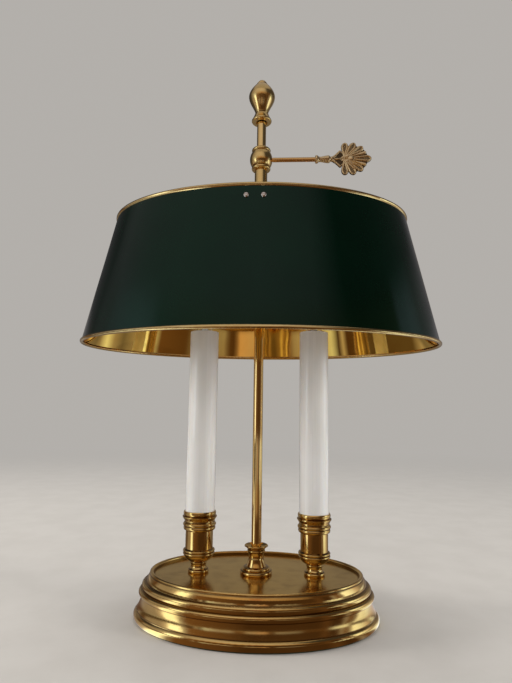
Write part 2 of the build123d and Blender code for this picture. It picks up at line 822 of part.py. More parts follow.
with BuildPart() as finial:
    with BuildSketch(side_plane()):
        with BuildLine():
            Line(
                (rod_r, finial_foot_z + finial_mouth_h),
                (finial_mouth_r, finial_foot_z + finial_mouth_h),
            )
            Line((finial_mouth_r, finial_foot_z + finial_mouth_h), (finial_mouth_r, finial_foot_z))
            Line((finial_mouth_r, finial_foot_z), (finial_lip_foot_r, finial_foot_z))
            ThreePointArc(
                (finial_lip_foot_r, finial_foot_z),
                (finial_lip_r, finial_foot_z + finial_lip_h),
                (finial_lip_top_r, finial_foot_z + finial_lip_top_h),
            )
            ThreePointArc(
                (finial_lip_top_r, finial_foot_z + finial_lip_top_h),
                (finial_bell_mid_r, finial_foot_z + finial_bell_mid_h),
                (finial_bell_r, finial_foot_z + finial_bell_h),
            )
            Line(
                (finial_bell_r, finial_foot_z + finial_bell_h),
                (finial_neck_r, finial_foot_z + finial_neck_h),
            )
            Line(
                (finial_neck_r, finial_foot_z + finial_neck_h),
                (finial_egg_foot_r, finial_foot_z + finial_egg_foot_h),
            )
            Spline(
                (finial_egg_foot_r, finial_foot_z + finial_egg_foot_h),
                (finial_egg_low_r, finial_foot_z + finial_egg_low_h),
                (finial_egg_r, finial_foot_z + finial_egg_h),
                (finial_egg_high_r, finial_foot_z + finial_egg_high_h),
                (finial_egg_top_r, finial_foot_z + finial_egg_top_h),
            )
            Line(
                (finial_egg_top_r, finial_foot_z + finial_egg_top_h),
                (finial_groove_r, finial_foot_z + finial_groove_h),
            )
            Line(
                (finial_groove_r, finial_foot_z + finial_groove_h),
                (finial_cap_r, finial_foot_z + finial_cap_h),
            )
            Line(
                (finial_cap_r, finial_foot_z + finial_cap_h),
                (finial_cap_r, finial_foot_z + finial_cap_h + finial_cap_edge_h),
            )
            Line(
                (finial_cap_r, finial_foot_z + finial_cap_h + finial_cap_edge_h),
                (finial_cap_top_r, finial_foot_z + finial_cap_top_h),
            )
            TangentArc(
                (0, finial_foot_z + finial_h),
                (finial_cap_top_r, finial_foot_z + finial_cap_top_h),
                tangent=(1, 0),
            )
            Line((0, finial_foot_z + finial_h), (0, rod_top_z))
            Line((0, rod_top_z), (rod_r, rod_top_z))
            Line((rod_r, rod_top_z), (rod_r, finial_foot_z + finial_mouth_h))
        make_face()
    revolve(axis=Axis.Z)
save(finial.part, "finial")


# ================================================================ candle lights
def candle_cup(axis_x):
    """Turned cup: foot, waist, ring, bowl, reeds, plain body, two beads, flange and lip."""
    z = deck_z
    reed_h = (cup_reeds_top_h - cup_bowl_h) / cup_reeds
    with BuildPart() as cup:
        with BuildSketch(side_plane(axis_x)):
            with BuildLine():
                Line((nipple_r, z), (cup_foot_r, z))
                ThreePointArc(
                    (cup_foot_r, z),
                    (cup_foot_bead_r, z + cup_foot_bead_h),
                    (cup_foot_top_r, z + cup_foot_h),
                )
                ThreePointArc(
                    (cup_foot_top_r, z + cup_foot_h),
                    (cup_waist_r, z + cup_waist_h),
                    (cup_ring_r, z + cup_ring_foot_h),
                )
                ThreePointArc(
                    (cup_ring_r, z + cup_ring_foot_h),
                    (cup_ring_bead_r, z + (cup_ring_foot_h + cup_ring_top_h) / 2),
                    (cup_ring_r, z + cup_ring_top_h),
                )
                ThreePointArc(
                    (cup_ring_r, z + cup_ring_top_h),
                    (cup_bowl_mid_r, z + cup_bowl_mid_h),
                    (cup_bowl_r, z + cup_bowl_h),
                )
                for reed in range(cup_reeds):
                    low = z + cup_bowl_h + reed * reed_h
                    if reed == 0:
                        Line((cup_bowl_r, low), (cup_reed_r, low))
                    ThreePointArc(
                        (cup_reed_r, low),
                        (cup_reed_r + cup_reed_bulge, low + reed_h / 2),
                        (cup_reed_r, low + reed_h),
                    )
                Line((cup_reed_r, z + cup_reeds_top_h), (cup_body_r, z + cup_body_foot_h))
                Line((cup_body_r, z + cup_body_foot_h), (cup_body_r, z + cup_body_top_h))
                Line((cup_body_r, z + cup_body_top_h), (cup_band_r, z + cup_band_foot_h))
                ThreePointArc(
                    (cup_band_r, z + cup_band_foot_h),
                    (cup_low_bead_r, z + (cup_band_foot_h + cup_band_mid_h) / 2),
                    (cup_band_r, z + cup_band_mid_h),
                )
                ThreePointArc(
                    (cup_band_r, z + cup_band_mid_h),
                    (cup_high_bead_r, z + (cup_band_mid_h + cup_band_top_h) / 2),
                    (cup_band_r, z + cup_band_top_h),
                )
                Line((cup_band_r, z + cup_band_top_h), (cup_groove_r, z + cup_groove_foot_h))
                Line((cup_groove_r, z + cup_groove_foot_h), (cup_groove_r, z + cup_groove_top_h))
                Line((cup_groove_r, z + cup_groove_top_h), (cup_flange_r, z + cup_flange_foot_h))
                Line((cup_flange_r, z + cup_flange_foot_h), (cup_flange_r, z + cup_flange_top_h))
                Line((cup_flange_r, z + cup_flange_top_h), (cup_lip_r, z + cup_lip_foot_h))
                ThreePointArc(
                    (cup_lip_r, z + cup_lip_foot_h),
                    (cup_lip_bead_r, z + (cup_lip_foot_h + cup_lip_top_h) / 2),
                    (cup_lip_r, z + cup_lip_top_h),
                )
                Line((cup_lip_r, z + cup_lip_top_h), (sleeve_r, z + cup_lip_top_h))
                Line((sleeve_r, z + cup_lip_top_h), (sleeve_r, z + cup_ledge_h))
                Line((sleeve_r, z + cup_ledge_h), (cup_bore_r, z + cup_ledge_h))
                Line((cup_bore_r, z + cup_ledge_h), (cup_bore_r, z + cup_floor_h))
                Line((cup_bore_r, z + cup_floor_h), (nipple_r, z + cup_floor_h))
                Line((nipple_r, z + cup_floor_h), (nipple_r, z))
            make_face()
        revolve(axis=upright(axis_x))
    return cup.part


def candle_sleeve(axis_x):
    foot_z = deck_z + cup_ledge_h
    with BuildPart() as sleeve:
        with BuildSketch(Plane.XY.offset(foot_z)):
            with Locations((axis_x, 0)):
                Circle(sleeve_r)
                Circle(sleeve_bore_r, mode=Mode.SUBTRACT)
        extrude(amount=sleeve_top_z - foot_z)
        fillet(sleeve.faces().sort_by(Axis.Z)[-1].edges(), radius=sleeve_edge_r)
    return sleeve.part


def socket_bracket(axis_x):
    """Bent strip: a foot ring on the nipple, an upright and a tab under the socket."""
    foot_z = deck_z + cup_floor_h
    strip_y = bracket_strip_y + bracket_t
    with BuildPart() as bracket:
        with BuildSketch(Plane.XY.offset(foot_z)):
            with Locations((axis_x, 0)):
                Circle(bracket_foot_r)
            with Locations((axis_x, strip_y / 2)):
                Rectangle(bracket_w, strip_y)
            with Locations((axis_x, 0)):
                Circle(nipple_r, mode=Mode.SUBTRACT)
        extrude(amount=bracket_t)
        with BuildSketch(Plane.XY.offset(foot_z)):
            with Locations((axis_x, bracket_strip_y + bracket_t / 2)):
                Rectangle(bracket_w, bracket_t)
        extrude(amount=socket_foot_z - foot_z)
        with BuildSketch(Plane.XY.offset(socket_foot_z)):
            with Locations((axis_x, (strip_y - bracket_tab_back) / 2)):
                Rectangle(bracket_w, strip_y + bracket_tab_back)
            with Locations((axis_x, 0)):
                Circle(rivet_r, mode=Mode.SUBTRACT)
        extrude(amount=-bracket_t)
    return bracket.part


def socket_body(axis_x):
    with BuildPart() as body:
        with BuildSketch(Plane.XY.offset(socket_foot_z)):
            with Locations((axis_x, 0)):
                Circle(socket_r)
        extrude(amount=socket_top_z - socket_foot_z)
        chamfer(body.edges().filter_by(GeomType.CIRCLE), length=socket_edge)
        with BuildSketch(Plane.XY.offset(socket_top_z)):
            with Locations((axis_x, 0)):
                Circle(bulb_thread_r + bulb_thread_clear + shell_t)
        extrude(amount=socket_floor_z - socket_top_z, mode=Mode.SUBTRACT)
        with BuildSketch(Plane.XY.offset(socket_foot_z)):
            with Locations((axis_x - lead_spread, 0), (axis_x + lead_spread, 0)):
                Circle(lead_r + hole_clear)
        extrude(amount=lead_top_z - socket_foot_z + part_gap, mode=Mode.SUBTRACT)
        with BuildSketch(Plane.XY.offset(socket_foot_z)):
            with Locations((axis_x, 0)):
                Circle(rivet_r)
        extrude(amount=rivet_l, mode=Mode.SUBTRACT)
    return body.part


def socket_shell(axis_x):
    """Threaded metal cup that the lamp screws into; its floor has a hole for the contact."""
    inner_r = bulb_thread_r + bulb_thread_clear
    with BuildPart() as shell:
        with BuildSketch(Plane.XY.offset(socket_floor_z)):
            with Locations((axis_x, 0)):
                Circle(inner_r + shell_t)
                Circle(inner_r, mode=Mode.SUBTRACT)
        extrude(amount=shell_l)
        with BuildSketch(Plane.XY.offset(socket_floor_z)):
            with Locations((axis_x, 0)):
                Circle(inner_r)
                Circle(shell_mouth_r, mode=Mode.SUBTRACT)
        extrude(amount=shell_t)
    return shell.part


def socket_contact(axis_x):
    """Centre contact: a flat tongue on the socket's floor, bent up to the lamp's tip."""
    with BuildPart() as contact:
        with BuildSketch(side_plane(axis_x)):
            with BuildLine():
                Polyline(
                    (-contact_l / 2, socket_floor_z),
                    (contact_l / 2, socket_floor_z),
                    (contact_l / 2, socket_floor_z + contact_t),
                    (0, socket_floor_z + contact_t),
                    (contact_w, bulb_tip_z - contact_t),
                    (contact_w, bulb_tip_z),
                    (-contact_w / 2, bulb_tip_z),
                    (-contact_w / 2, bulb_tip_z - contact_t),
                    (contact_w / 2, bulb_tip_z - contact_t),
                    (-contact_w / 2, socket_floor_z + contact_t),
                    (-contact_l / 2, socket_floor_z + contact_t),
                    (-contact_l / 2, socket_floor_z),
                )
            make_face()
        extrude(amount=contact_w / 2, both=True)
    return contact.part


def bulb_base(axis_x):
    with BuildPart() as base:
        with BuildSketch(side_plane(axis_x)):
            with BuildLine():
                Polyline(
                    (0, bulb_tip_z),
                    (bulb_tip_r, bulb_tip_z),
                    (bulb_tip_r, bulb_tip_z + bulb_tip_h),
                    (bulb_thread_r, bulb_tip_z + bulb_taper_h),
                    (bulb_thread_r, bulb_thread_top_z),
                    (0, bulb_thread_top_z),
                    (0, bulb_tip_z),
                )
            make_face()
        revolve(axis=upright(axis_x))
    return base.part


def bulb_glass(axis_x):
    """Candle-shaped envelope of even thickness, closed at its neck by a flat foot."""
    with BuildPart() as glass:
        for inset in (0.0, glass_t):
            with BuildSketch(side_plane(axis_x)):
                with BuildLine():
                    Line(
                        (0, bulb_thread_top_z + inset),
                        (glass_neck_r - inset, bulb_thread_top_z + inset),
                    )
                    Spline(
                        (glass_neck_r - inset, bulb_thread_top_z + inset),
                        (glass_belly_r - inset, bulb_thread_top_z + glass_belly_h),
                        (glass_shoulder_r - inset, bulb_thread_top_z + glass_shoulder_h),
                        (glass_tip_r - inset, glass_tip_z - inset),
                        tangents=(glass_foot_slope, glass_tip_slope),
                    )
                    Line((glass_tip_r - inset, glass_tip_z - inset), (0, glass_tip_z - inset))
                    Line((0, glass_tip_z - inset), (0, bulb_thread_top_z + inset))
                make_face()
            revolve(axis=upright(axis_x), mode=Mode.SUBTRACT if inset else Mode.ADD)
    return glass.part


for side, axis_x in (("left", -candle_x), ("right", candle_x)):
    save(candle_cup(axis_x), f"{side}_candle_cup")
    save(candle_sleeve(axis_x), f"{side}_candle_sleeve")
    save(socket_bracket(axis_x), f"{side}_socket_bracket")
    save(socket_body(axis_x), f"{side}_socket_body")
    save(socket_shell(axis_x), f"{side}_socket_shell")
    save(socket_contact(axis_x), f"{side}_socket_contact")
    save(bulb_base(axis_x), f"{side}_bulb_base")
    save(bulb_glass(axis_x), f"{side}_bulb_glass")

with BuildPart() as cup_nipples:
    with BuildSketch(Plane.XY.offset(nipple_foot_z)):
        with Locations(*candle_axes):
            Circle(nipple_r)
            Circle(nipple_bore_r, mode=Mode.SUBTRACT)
    extrude(amount=nipple_top_z - nipple_foot_z)
save(cup_nipples.part, "cup_nipples")
save(
    washers(roof_z - washer_t, nipple_washer_r, nipple_r, washer_t, candle_axes), "cup_washers"
)
save(
    hex_nuts(roof_z - washer_t - nut_t, nipple_nut_flats, nut_t, nipple_r, candle_axes),
    "cup_lower_nuts",
)
save(
    hex_nuts(
        deck_z + cup_floor_h + bracket_t, nipple_nut_flats, nut_t, nipple_r, candle_axes
    ),
    "cup_inner_nuts",
)

with BuildPart() as socket_rivets:
    with BuildSketch(Plane.XY.offset(socket_foot_z - bracket_t - rivet_head_t)):
        with Locations(*candle_axes):
            Circle(rivet_head_r)
    extrude(amount=rivet_head_t)
    with BuildSketch(Plane.XY.offset(socket_foot_z - bracket_t)):
        with Locations(*candle_axes):
            Circle(rivet_r)
    extrude(amount=bracket_t + rivet_l)
save(socket_rivets.part, "socket_rivets")

# ================================================================ wiring in the base
splice_z = weight_top_z + connector_r
run_z = splice_z - splice_drop
mouth_x = connector_mouth_x - connector_bore_l / 2
line_x = line_connector_mouth_x - connector_bore_l / 2


def socket_lead(axis_x, offset, turn_y, looped):
    """From a socket, down the sleeve and nipple, and across the weight into a connector."""
    side = 1 if turn_y > 0 else -1
    outer = side * (connector_y + splice_spread)
    inner = side * (connector_y - splice_spread)
    spread = lead_spread if offset > 0 else -lead_spread
    points = [
        (axis_x + spread, 0, lead_top_z),
        (axis_x + spread, 0, lead_fan_z),
        (axis_x + offset, 0, lead_merge_z),
        (axis_x + offset, 0, run_z),
    ]
    bends = [lead_fan_bend, lead_fan_bend, lead_bend]
    if looped:
        points += [
            (axis_x + offset, side * loop_y, run_z),
            (loop_x, side * loop_y, run_z),
            (loop_x, outer, run_z),
            (mouth_x, outer, run_z),
        ]
        bends += [lead_bend, lead_loop_bend, lead_loop_bend]
    else:
        points += [(axis_x + offset, inner, run_z), (mouth_x, inner, run_z)]
        bends += [lead_bend]
    return lead(points, bends)


save(socket_lead(-candle_x, -lead_pair, -connector_y, True), "left_hot_lead")
save(socket_lead(-candle_x, lead_pair, connector_y, True), "left_neutral_lead")
save(socket_lead(candle_x, -lead_pair, -connector_y, False), "right_hot_lead")
save(socket_lead(candle_x, lead_pair, connector_y, False), "right_neutral_lead")


def switch_point(along, across, rise):
    return switch_plane.from_local_coords(Vector(across, rise, along))


switch_rear = -switch_seat - switch_body_l
side_up = switch_plane.y_dir.Z
load_start = switch_point(switch_rear, -switch_lead_spread, side_up * switch_lead_rise)
load_clear = switch_point(switch_rear - switch_lead_clear, -switch_lead_spread, side_up * switch_lead_rise)
line_start = switch_point(switch_rear, switch_lead_spread, side_up * switch_lead_rise)
line_clear = switch_point(switch_rear - switch_lead_clear, switch_lead_spread, side_up * switch_lead_rise)
if load_start.X < line_start.X:
    load_start, line_start = line_start, load_start
    load_clear, line_clear = line_clear, load_clear
load_run_x = load_clear.X - load_turn_x
load_run_y = load_clear.Y - load_turn_y

save(
    lead(
        [
            tuple(load_start),
            tuple(load_clear),
            (load_run_x, load_run_y, load_run_z),
            (load_run_x, -connector_y, load_run_z),
            (load_drop_x, -connector_y, splice_z + splice_rise),
            (mouth_x, -connector_y, splice_z + splice_rise),
        ],
        [switch_lead_bend, switch_run_bend, switch_run_bend, switch_run_bend],
    ),
    "switch_load_lead",
)
save(
    lead(
        [
            tuple(line_start),
            tuple(line_clear),
            (line_run_x, line_connector_y, splice_z),
            (line_x, line_connector_y, splice_z),
        ],
        [switch_lead_bend, switch_run_bend],
    ),
    "switch_line_lead",
)

connector_places = (
    (connector_mouth_x, -connector_y),
    (connector_mouth_x, connector_y),
    (line_connector_mouth_x, line_connector_y),
)
with BuildPart() as wire_connectors:
    for place_x, place_y in connector_places:
        mouth = Plane(origin=(place_x, place_y, splice_z), x_dir=(0, 1, 0), z_dir=(-1, 0, 0))
        with BuildSketch(mouth):
            Circle(connector_r)
        with BuildSketch(mouth.offset(connector_l)):
            Circle(connector_tip_r)
        loft()
        with BuildSketch(mouth):
            Circle(connector_bore_r)
        extrude(amount=connector_bore_l, mode=Mode.SUBTRACT)
save(wire_connectors.part, "wire_connectors")

# ================================================================ carriage
bore_r = rod_r + running_fit
tube_top_z = collar_foot_z + collar_socket_h

with BuildPart() as guide_bushing:
    with BuildSketch(Plane.XY.offset(tube_foot_z + part_gap)):
        Circle(bushing_pocket_r - running_fit)
        Circle(bore_r, mode=Mode.SUBTRACT)
    extrude(amount=bushing_pocket_l - 2 * part_gap)
save(guide_bushing.part, "guide_bushing")

with BuildPart() as sleeve_tube:
    with BuildSketch(Plane.XY.offset(tube_foot_z)):
        Circle(tube_r)
        Circle(tube_bore_r, mode=Mode.SUBTRACT)
    extrude(amount=tube_top_z - tube_foot_z)
    with BuildSketch(Plane.XY.offset(tube_foot_z)):
        Circle(bushing_pocket_r)
    extrude(amount=bushing_pocket_l, mode=Mode.SUBTRACT)
save(sleeve_tube.part, "sleeve_tube")

with BuildPart() as tube_end_cap:
    with BuildSketch(Plane.XY.offset(tube_foot_z - end_cap_floor_t)):
        Circle(end_cap_r)
        Circle(tube_bore_r, mode=Mode.SUBTRACT)
    extrude(amount=end_cap_h)
    with BuildSketch(Plane.XY.offset(tube_foot_z)):
        Circle(tube_r)
    extrude(amount=end_cap_h - end_cap_floor_t, mode=Mode.SUBTRACT)
    chamfer(tube_end_cap.faces().sort_by(Axis.Z)[0].edges().sort_by(SortBy.RADIUS)[-1], length=end_cap_edge)
save(tube_end_cap.part, "tube_end_cap")

with BuildPart() as clamp_collar:
    z = collar_foot_z
    with BuildSketch(side_plane()):
        with BuildLine():
            Line((tube_r, z), (collar_foot_ring_r, z))
            ThreePointArc(
                (collar_foot_ring_r, z),
                (collar_foot_bead_r, z + collar_foot_ring_h / 2),
                (collar_foot_ring_r, z + collar_foot_ring_h),
            )
            Line(
                (collar_foot_ring_r, z + collar_foot_ring_h),
                (collar_ball_end_r, z + collar_ball_foot_h),
            )
            ThreePointArc(
                (collar_ball_end_r, z + collar_ball_foot_h),
                (collar_ball_r, z + (collar_ball_foot_h + collar_ball_top_h) / 2),
                (collar_ball_end_r, z + collar_ball_top_h),
            )
            Line(
                (collar_ball_end_r, z + collar_ball_top_h),
                (collar_top_ring_r, z + collar_top_ring_foot_h),
            )
            ThreePointArc(
                (collar_top_ring_r, z + collar_top_ring_foot_h),
                (collar_top_bead_r, (z + collar_top_ring_foot_h + collar_top_z) / 2),
                (collar_top_ring_r, collar_top_z),
            )
            Line((collar_top_ring_r, collar_top_z), (bore_r, collar_top_z))
            Line((bore_r, collar_top_z), (bore_r, tube_top_z))
            Line((bore_r, tube_top_z), (tube_r, tube_top_z))
            Line((tube_r, tube_top_z), (tube_r, z))
        make_face()
    revolve(axis=Axis.Z)
    with BuildSketch(Plane.YZ):
        with Locations((0, key_z)):
            Circle(key_thread_r + running_fit)
    extrude(amount=collar_ball_r + part_gap, mode=Mode.SUBTRACT)
save(clamp_collar.part, "clamp_collar")

save(
    washers(crossbar_z + crossbar_t, shoulder_r, tube_r, shoulder_t, rod_axis),
    "crossbar_shoulder",
)
save(
    hex_nuts(
        crossbar_z - crossbar_nut_t, crossbar_nut_flats, crossbar_nut_t, tube_r, rod_axis
    ),
    "crossbar_nut",
)

# ================================================================ shade
with BuildPart() as shade_space:
    with BuildSketch(Plane.XY.offset(shade_foot_z)):
        Ellipse(shade_foot_a - shade_t, shade_foot_b - shade_t)
    with BuildSketch(Plane.XY.offset(shade_head_z)):
        Ellipse(shade_head_a - shade_t, shade_head_b - shade_t)
    loft(ruled=True)

# Axes of the four shade screws: square to the sloping wall in the front-back plane.
wall_lean = atan2(shade_foot_b - shade_head_b, shade_head_z - shade_foot_z)
screw_planes = []
for front in (-1, 1):
    for screw_x in (-shade_screw_x, shade_screw_x):
        half_w, half_d = wall_oval(shade_screw_z)
        face_y = half_d * sqrt(1 - (screw_x / half_w) ** 2)
        screw_planes.append(
            Plane(
                origin=(screw_x, front * face_y, shade_screw_z),
                x_dir=(1, 0, 0),
                z_dir=(0, front * cos(wall_lean), sin(wall_lean)),
            )
        )

with BuildPart() as shade_shell:
    with BuildSketch(Plane.XY.offset(shade_foot_z)):
        Ellipse(shade_foot_a, shade_foot_b)
    with BuildSketch(Plane.XY.offset(shade_head_z)):
        Ellipse(shade_head_a, shade_head_b)
    loft(ruled=True)
    add(shade_space.part, mode=Mode.SUBTRACT)
    for plane in screw_planes:
        with BuildSketch(plane):
            Circle(screw_r + hole_clear)
        extrude(amount=screw_head_h * 2, both=True, mode=Mode.SUBTRACT)
save(shade_shell.part, "shade_shell")


def rim_bead(z, half_w, half_d):
    """Round wire-edge bead around the oval, slit to hold the sheet's edge."""
    with BuildPart() as rim:
        with BuildLine(Plane.XY.offset(z)) as path:
            EllipticalCenterArc((0, 0), half_w, half_d, start_angle=0, arc_size=360)
        with BuildSketch(Plane(origin=(half_w, 0, z), x_dir=(1, 0, 0), z_dir=(0, 1, 0))):
            Circle(rim_bead_r)
        sweep(path=path.wires()[0])
        add(shade_shell.part, mode=Mode.SUBTRACT)
    return rim.part


save(
    rim_bead(shade_foot_z, shade_foot_a - shade_t / 2, shade_foot_b - shade_t / 2),
    "shade_bottom_rim",
)
save(
    rim_bead(shade_head_z, shade_head_a - shade_t / 2, shade_head_b - shade_t / 2),
    "shade_top_rim",
)

leg_top_y = wall_oval(crossbar_z + crossbar_t)[1]
leg_foot_y = wall_oval(crossbar_leg_z)[1]
leg_inset = (shade_t + crossbar_t) / cos(wall_lean)
with BuildPart() as shade_crossbar:
    with BuildSketch(Plane.YZ):
        with BuildLine():
            Polyline(
                (-leg_foot_y, crossbar_leg_z),
                (-leg_top_y, crossbar_z + crossbar_t),
                (leg_top_y, crossbar_z + crossbar_t),
                (leg_foot_y, crossbar_leg_z),
                (leg_foot_y - leg_inset, crossbar_leg_z),
                (wall_oval(crossbar_z)[1] - leg_inset, crossbar_z),
                (-wall_oval(crossbar_z)[1] + leg_inset, crossbar_z),
                (-leg_foot_y + leg_inset, crossbar_leg_z),
                (-leg_foot_y, crossbar_leg_z),
            )
        make_face()
    extrude(amount=crossbar_w / 2, both=True)
    add(shade_space.part, mode=Mode.INTERSECT)
    with BuildSketch(Plane.XY.offset(crossbar_z)):
        Circle(tube_r)
    extrude(amount=crossbar_t, mode=Mode.SUBTRACT)
    for plane in screw_planes:
        with BuildSketch(plane):
            Circle(screw_r + hole_clear)
        extrude(amount=-(shade_t + crossbar_t) * 2, mode=Mode.SUBTRACT)
save(shade_crossbar.part, "shade_crossbar")

# Depth from the wall's outer face to the crossbar's inner face along a screw axis.
screw_half_w, screw_half_d = wall_oval(shade_screw_z)
sagitta = screw_half_d * (1 - sqrt(1 - (shade_screw_x / screw_half_w) ** 2))
grip = shade_t + crossbar_t - sagitta * cos(wall_lean)

with BuildPart() as shade_screws:
    for plane in screw_planes:
        with BuildSketch(plane.offset(-screw_seat)):
            Circle(screw_head_r)
        with BuildSketch(plane.offset(screw_brow_h)):
            Circle(screw_brow_r)
        with BuildSketch(plane.offset(screw_head_h)):
            Circle(screw_crown_r)
        loft()
        with BuildSketch(plane.offset(-screw_seat)):
            Circle(screw_r)
        extrude(amount=-(grip - screw_seat + shade_nut_t + screw_tail))
        with BuildSketch(plane.offset(screw_head_h - screw_slot_d)):
            Rectangle(screw_head_r * 3, screw_slot_w)
        extrude(amount=screw_slot_d * 2, mode=Mode.SUBTRACT)
    add(shade_shell.part, mode=Mode.SUBTRACT)
save(shade_screws.part, "shade_screws")

with BuildPart() as shade_nuts:
    for plane in screw_planes:
        with BuildSketch(plane.offset(-grip)):
            RegularPolygon(shade_nut_flats / 2, 6, major_radius=False)
            Circle(screw_r, mode=Mode.SUBTRACT)
        extrude(amount=-shade_nut_t)
save(shade_nuts.part, "shade_nuts")

# ================================================================ key
with BuildPart() as key_rod:
    with BuildSketch(Plane.YZ.offset(rod_r + part_gap)):
        with Locations((0, key_z)):
            Circle(key_thread_r)
    extrude(amount=key_shoulder_x - rod_r - part_gap)
    with BuildSketch(Plane.YZ.offset(key_shoulder_x)):
        with Locations((0, key_z)):
            Circle(key_rod_r)
    extrude(amount=key_rod_end_x - key_shoulder_x)
save(key_rod.part, "key_rod")

# The palmette is drawn in the upright plane of the key: local x along the key, local y up.
key_axis = Axis((0, 0, key_z), (1, 0, 0))
fan_plane = Plane(origin=(0, 0, key_z), x_dir=(1, 0, 0), z_dir=(0, -1, 0))


def petal(angle, length, width, start=0.0):
    """Teardrop from the fan's root to a round tip, in the current sketch."""
    tip_r = width / 2
    root_w = petal_root_w / 2
    reach = length - tip_r
    turn = radians(angle)
    root = Vector(fan_root_x + start * cos(turn), start * sin(turn))
    tip = Vector(fan_root_x + reach * cos(turn), reach * sin(turn))
    across = Vector(-sin(turn), cos(turn))
    along = Vector(cos(turn), sin(turn))
    with BuildLine() as outline:
        Line(root + across * root_w, tip + across * tip_r)
        ThreePointArc(tip + across * tip_r, tip + along * tip_r, tip - across * tip_r)
        Line(tip - across * tip_r, root - across * root_w)
        Line(root - across * root_w, root + across * root_w)
    make_face(outline.edges())


petals = []
for angle, length, width in zip(petal_angles, petal_lengths, petal_widths):
    petals.append((angle, length, width))
    if angle > 0:
        petals.append((-angle, length, width))


def leaf_places():
    return [
        Location((leaf_x, leaf_side * leaf_y), leaf_side * leaf_tilt) for leaf_side in (-1, 1)
    ]


with BuildPart() as key_palmette:
    with BuildSketch(fan_plane):
        for angle, length, width in petals:
            petal(angle, length, width)
        with Locations((fan_root_x + fan_core_r / 2, 0)):
            Circle(fan_core_r)
        with Locations(*leaf_places()):
            Ellipse(leaf_l / 2, leaf_w / 2)
    extrude(amount=fan_t / 2, both=True)
    with BuildSketch(fan_plane):
        for angle, length, width in petals:
            petal(angle, length * web_reach, width * web_swell)
    extrude(amount=web_t / 2, both=True)
    for face in (-1, 1):
        with BuildSketch(fan_plane.offset(face * fan_t / 2)):
            for angle, length, width in petals:
                petal(angle, length - petal_border, width - petal_border * 2, start=fan_core_r)
            with Locations(*leaf_places()):
                Ellipse(leaf_l / 2 - petal_border, leaf_w / 2 - petal_border)
        extrude(amount=-face * petal_recess, mode=Mode.SUBTRACT)
    with BuildSketch(fan_plane.offset(-fan_t / 2 - fan_boss_h)):
        with Locations((fan_boss_x, 0)):
            Circle(fan_boss_r)
    extrude(amount=fan_t + 2 * fan_boss_h)
    with BuildSketch(fan_plane):
        with BuildLine():
            Line((key_ferrule_x, 0), (key_ferrule_x, key_ferrule_r))
            Line((key_ferrule_x, key_ferrule_r), (key_ferrule_x + key_ferrule_l, key_ferrule_r))
            Spline(
                (key_ferrule_x + key_ferrule_l, key_ferrule_r),
                (key_waist_x, key_waist_r),
                (key_bulge_x, key_bulge_r),
                (key_calyx_x, key_calyx_r),
            )
            Line((key_calyx_x, key_calyx_r), (key_calyx_end_x, key_calyx_end_r))
            Line((key_calyx_end_x, key_calyx_end_r), (key_calyx_end_x, 0))
            Line((key_calyx_end_x, 0), (key_ferrule_x, 0))
        make_face()
    revolve(axis=key_axis)
    with BuildSketch(Plane.YZ.offset(key_ferrule_x)):
        with Locations((0, key_z)):
            Circle(key_rod_r)
    extrude(amount=key_rod_end_x - key_ferrule_x, mode=Mode.SUBTRACT)
save(key_palmette.part, "key_palmette")
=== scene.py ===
"""Bouillotte lamp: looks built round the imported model.

Metres, Z up, the rod on the Z axis and the key towards +X. Profiles are written in
millimetres as (radius, height) and turned round an upright axis.
"""

import json
import math

import bmesh
import bpy
from mathutils import Matrix, Vector, noise


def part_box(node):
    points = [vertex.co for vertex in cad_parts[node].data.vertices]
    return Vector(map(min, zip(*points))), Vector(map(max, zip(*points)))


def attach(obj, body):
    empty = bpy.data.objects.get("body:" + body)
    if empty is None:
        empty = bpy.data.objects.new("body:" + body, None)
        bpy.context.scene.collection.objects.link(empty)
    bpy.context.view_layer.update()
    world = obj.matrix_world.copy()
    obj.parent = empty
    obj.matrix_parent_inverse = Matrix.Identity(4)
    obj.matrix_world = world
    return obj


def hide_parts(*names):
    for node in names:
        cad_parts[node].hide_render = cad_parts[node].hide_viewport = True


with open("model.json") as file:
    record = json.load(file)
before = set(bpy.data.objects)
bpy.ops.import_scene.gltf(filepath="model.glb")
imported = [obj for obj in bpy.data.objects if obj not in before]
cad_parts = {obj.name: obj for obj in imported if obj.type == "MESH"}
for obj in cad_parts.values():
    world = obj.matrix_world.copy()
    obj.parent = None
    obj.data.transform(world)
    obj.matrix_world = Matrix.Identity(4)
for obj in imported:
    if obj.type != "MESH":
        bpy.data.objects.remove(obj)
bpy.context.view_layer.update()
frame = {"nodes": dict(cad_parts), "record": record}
nodes = frame["nodes"]

MM = 0.001
TAU = 2 * math.pi
CANDLE_X = 54.9


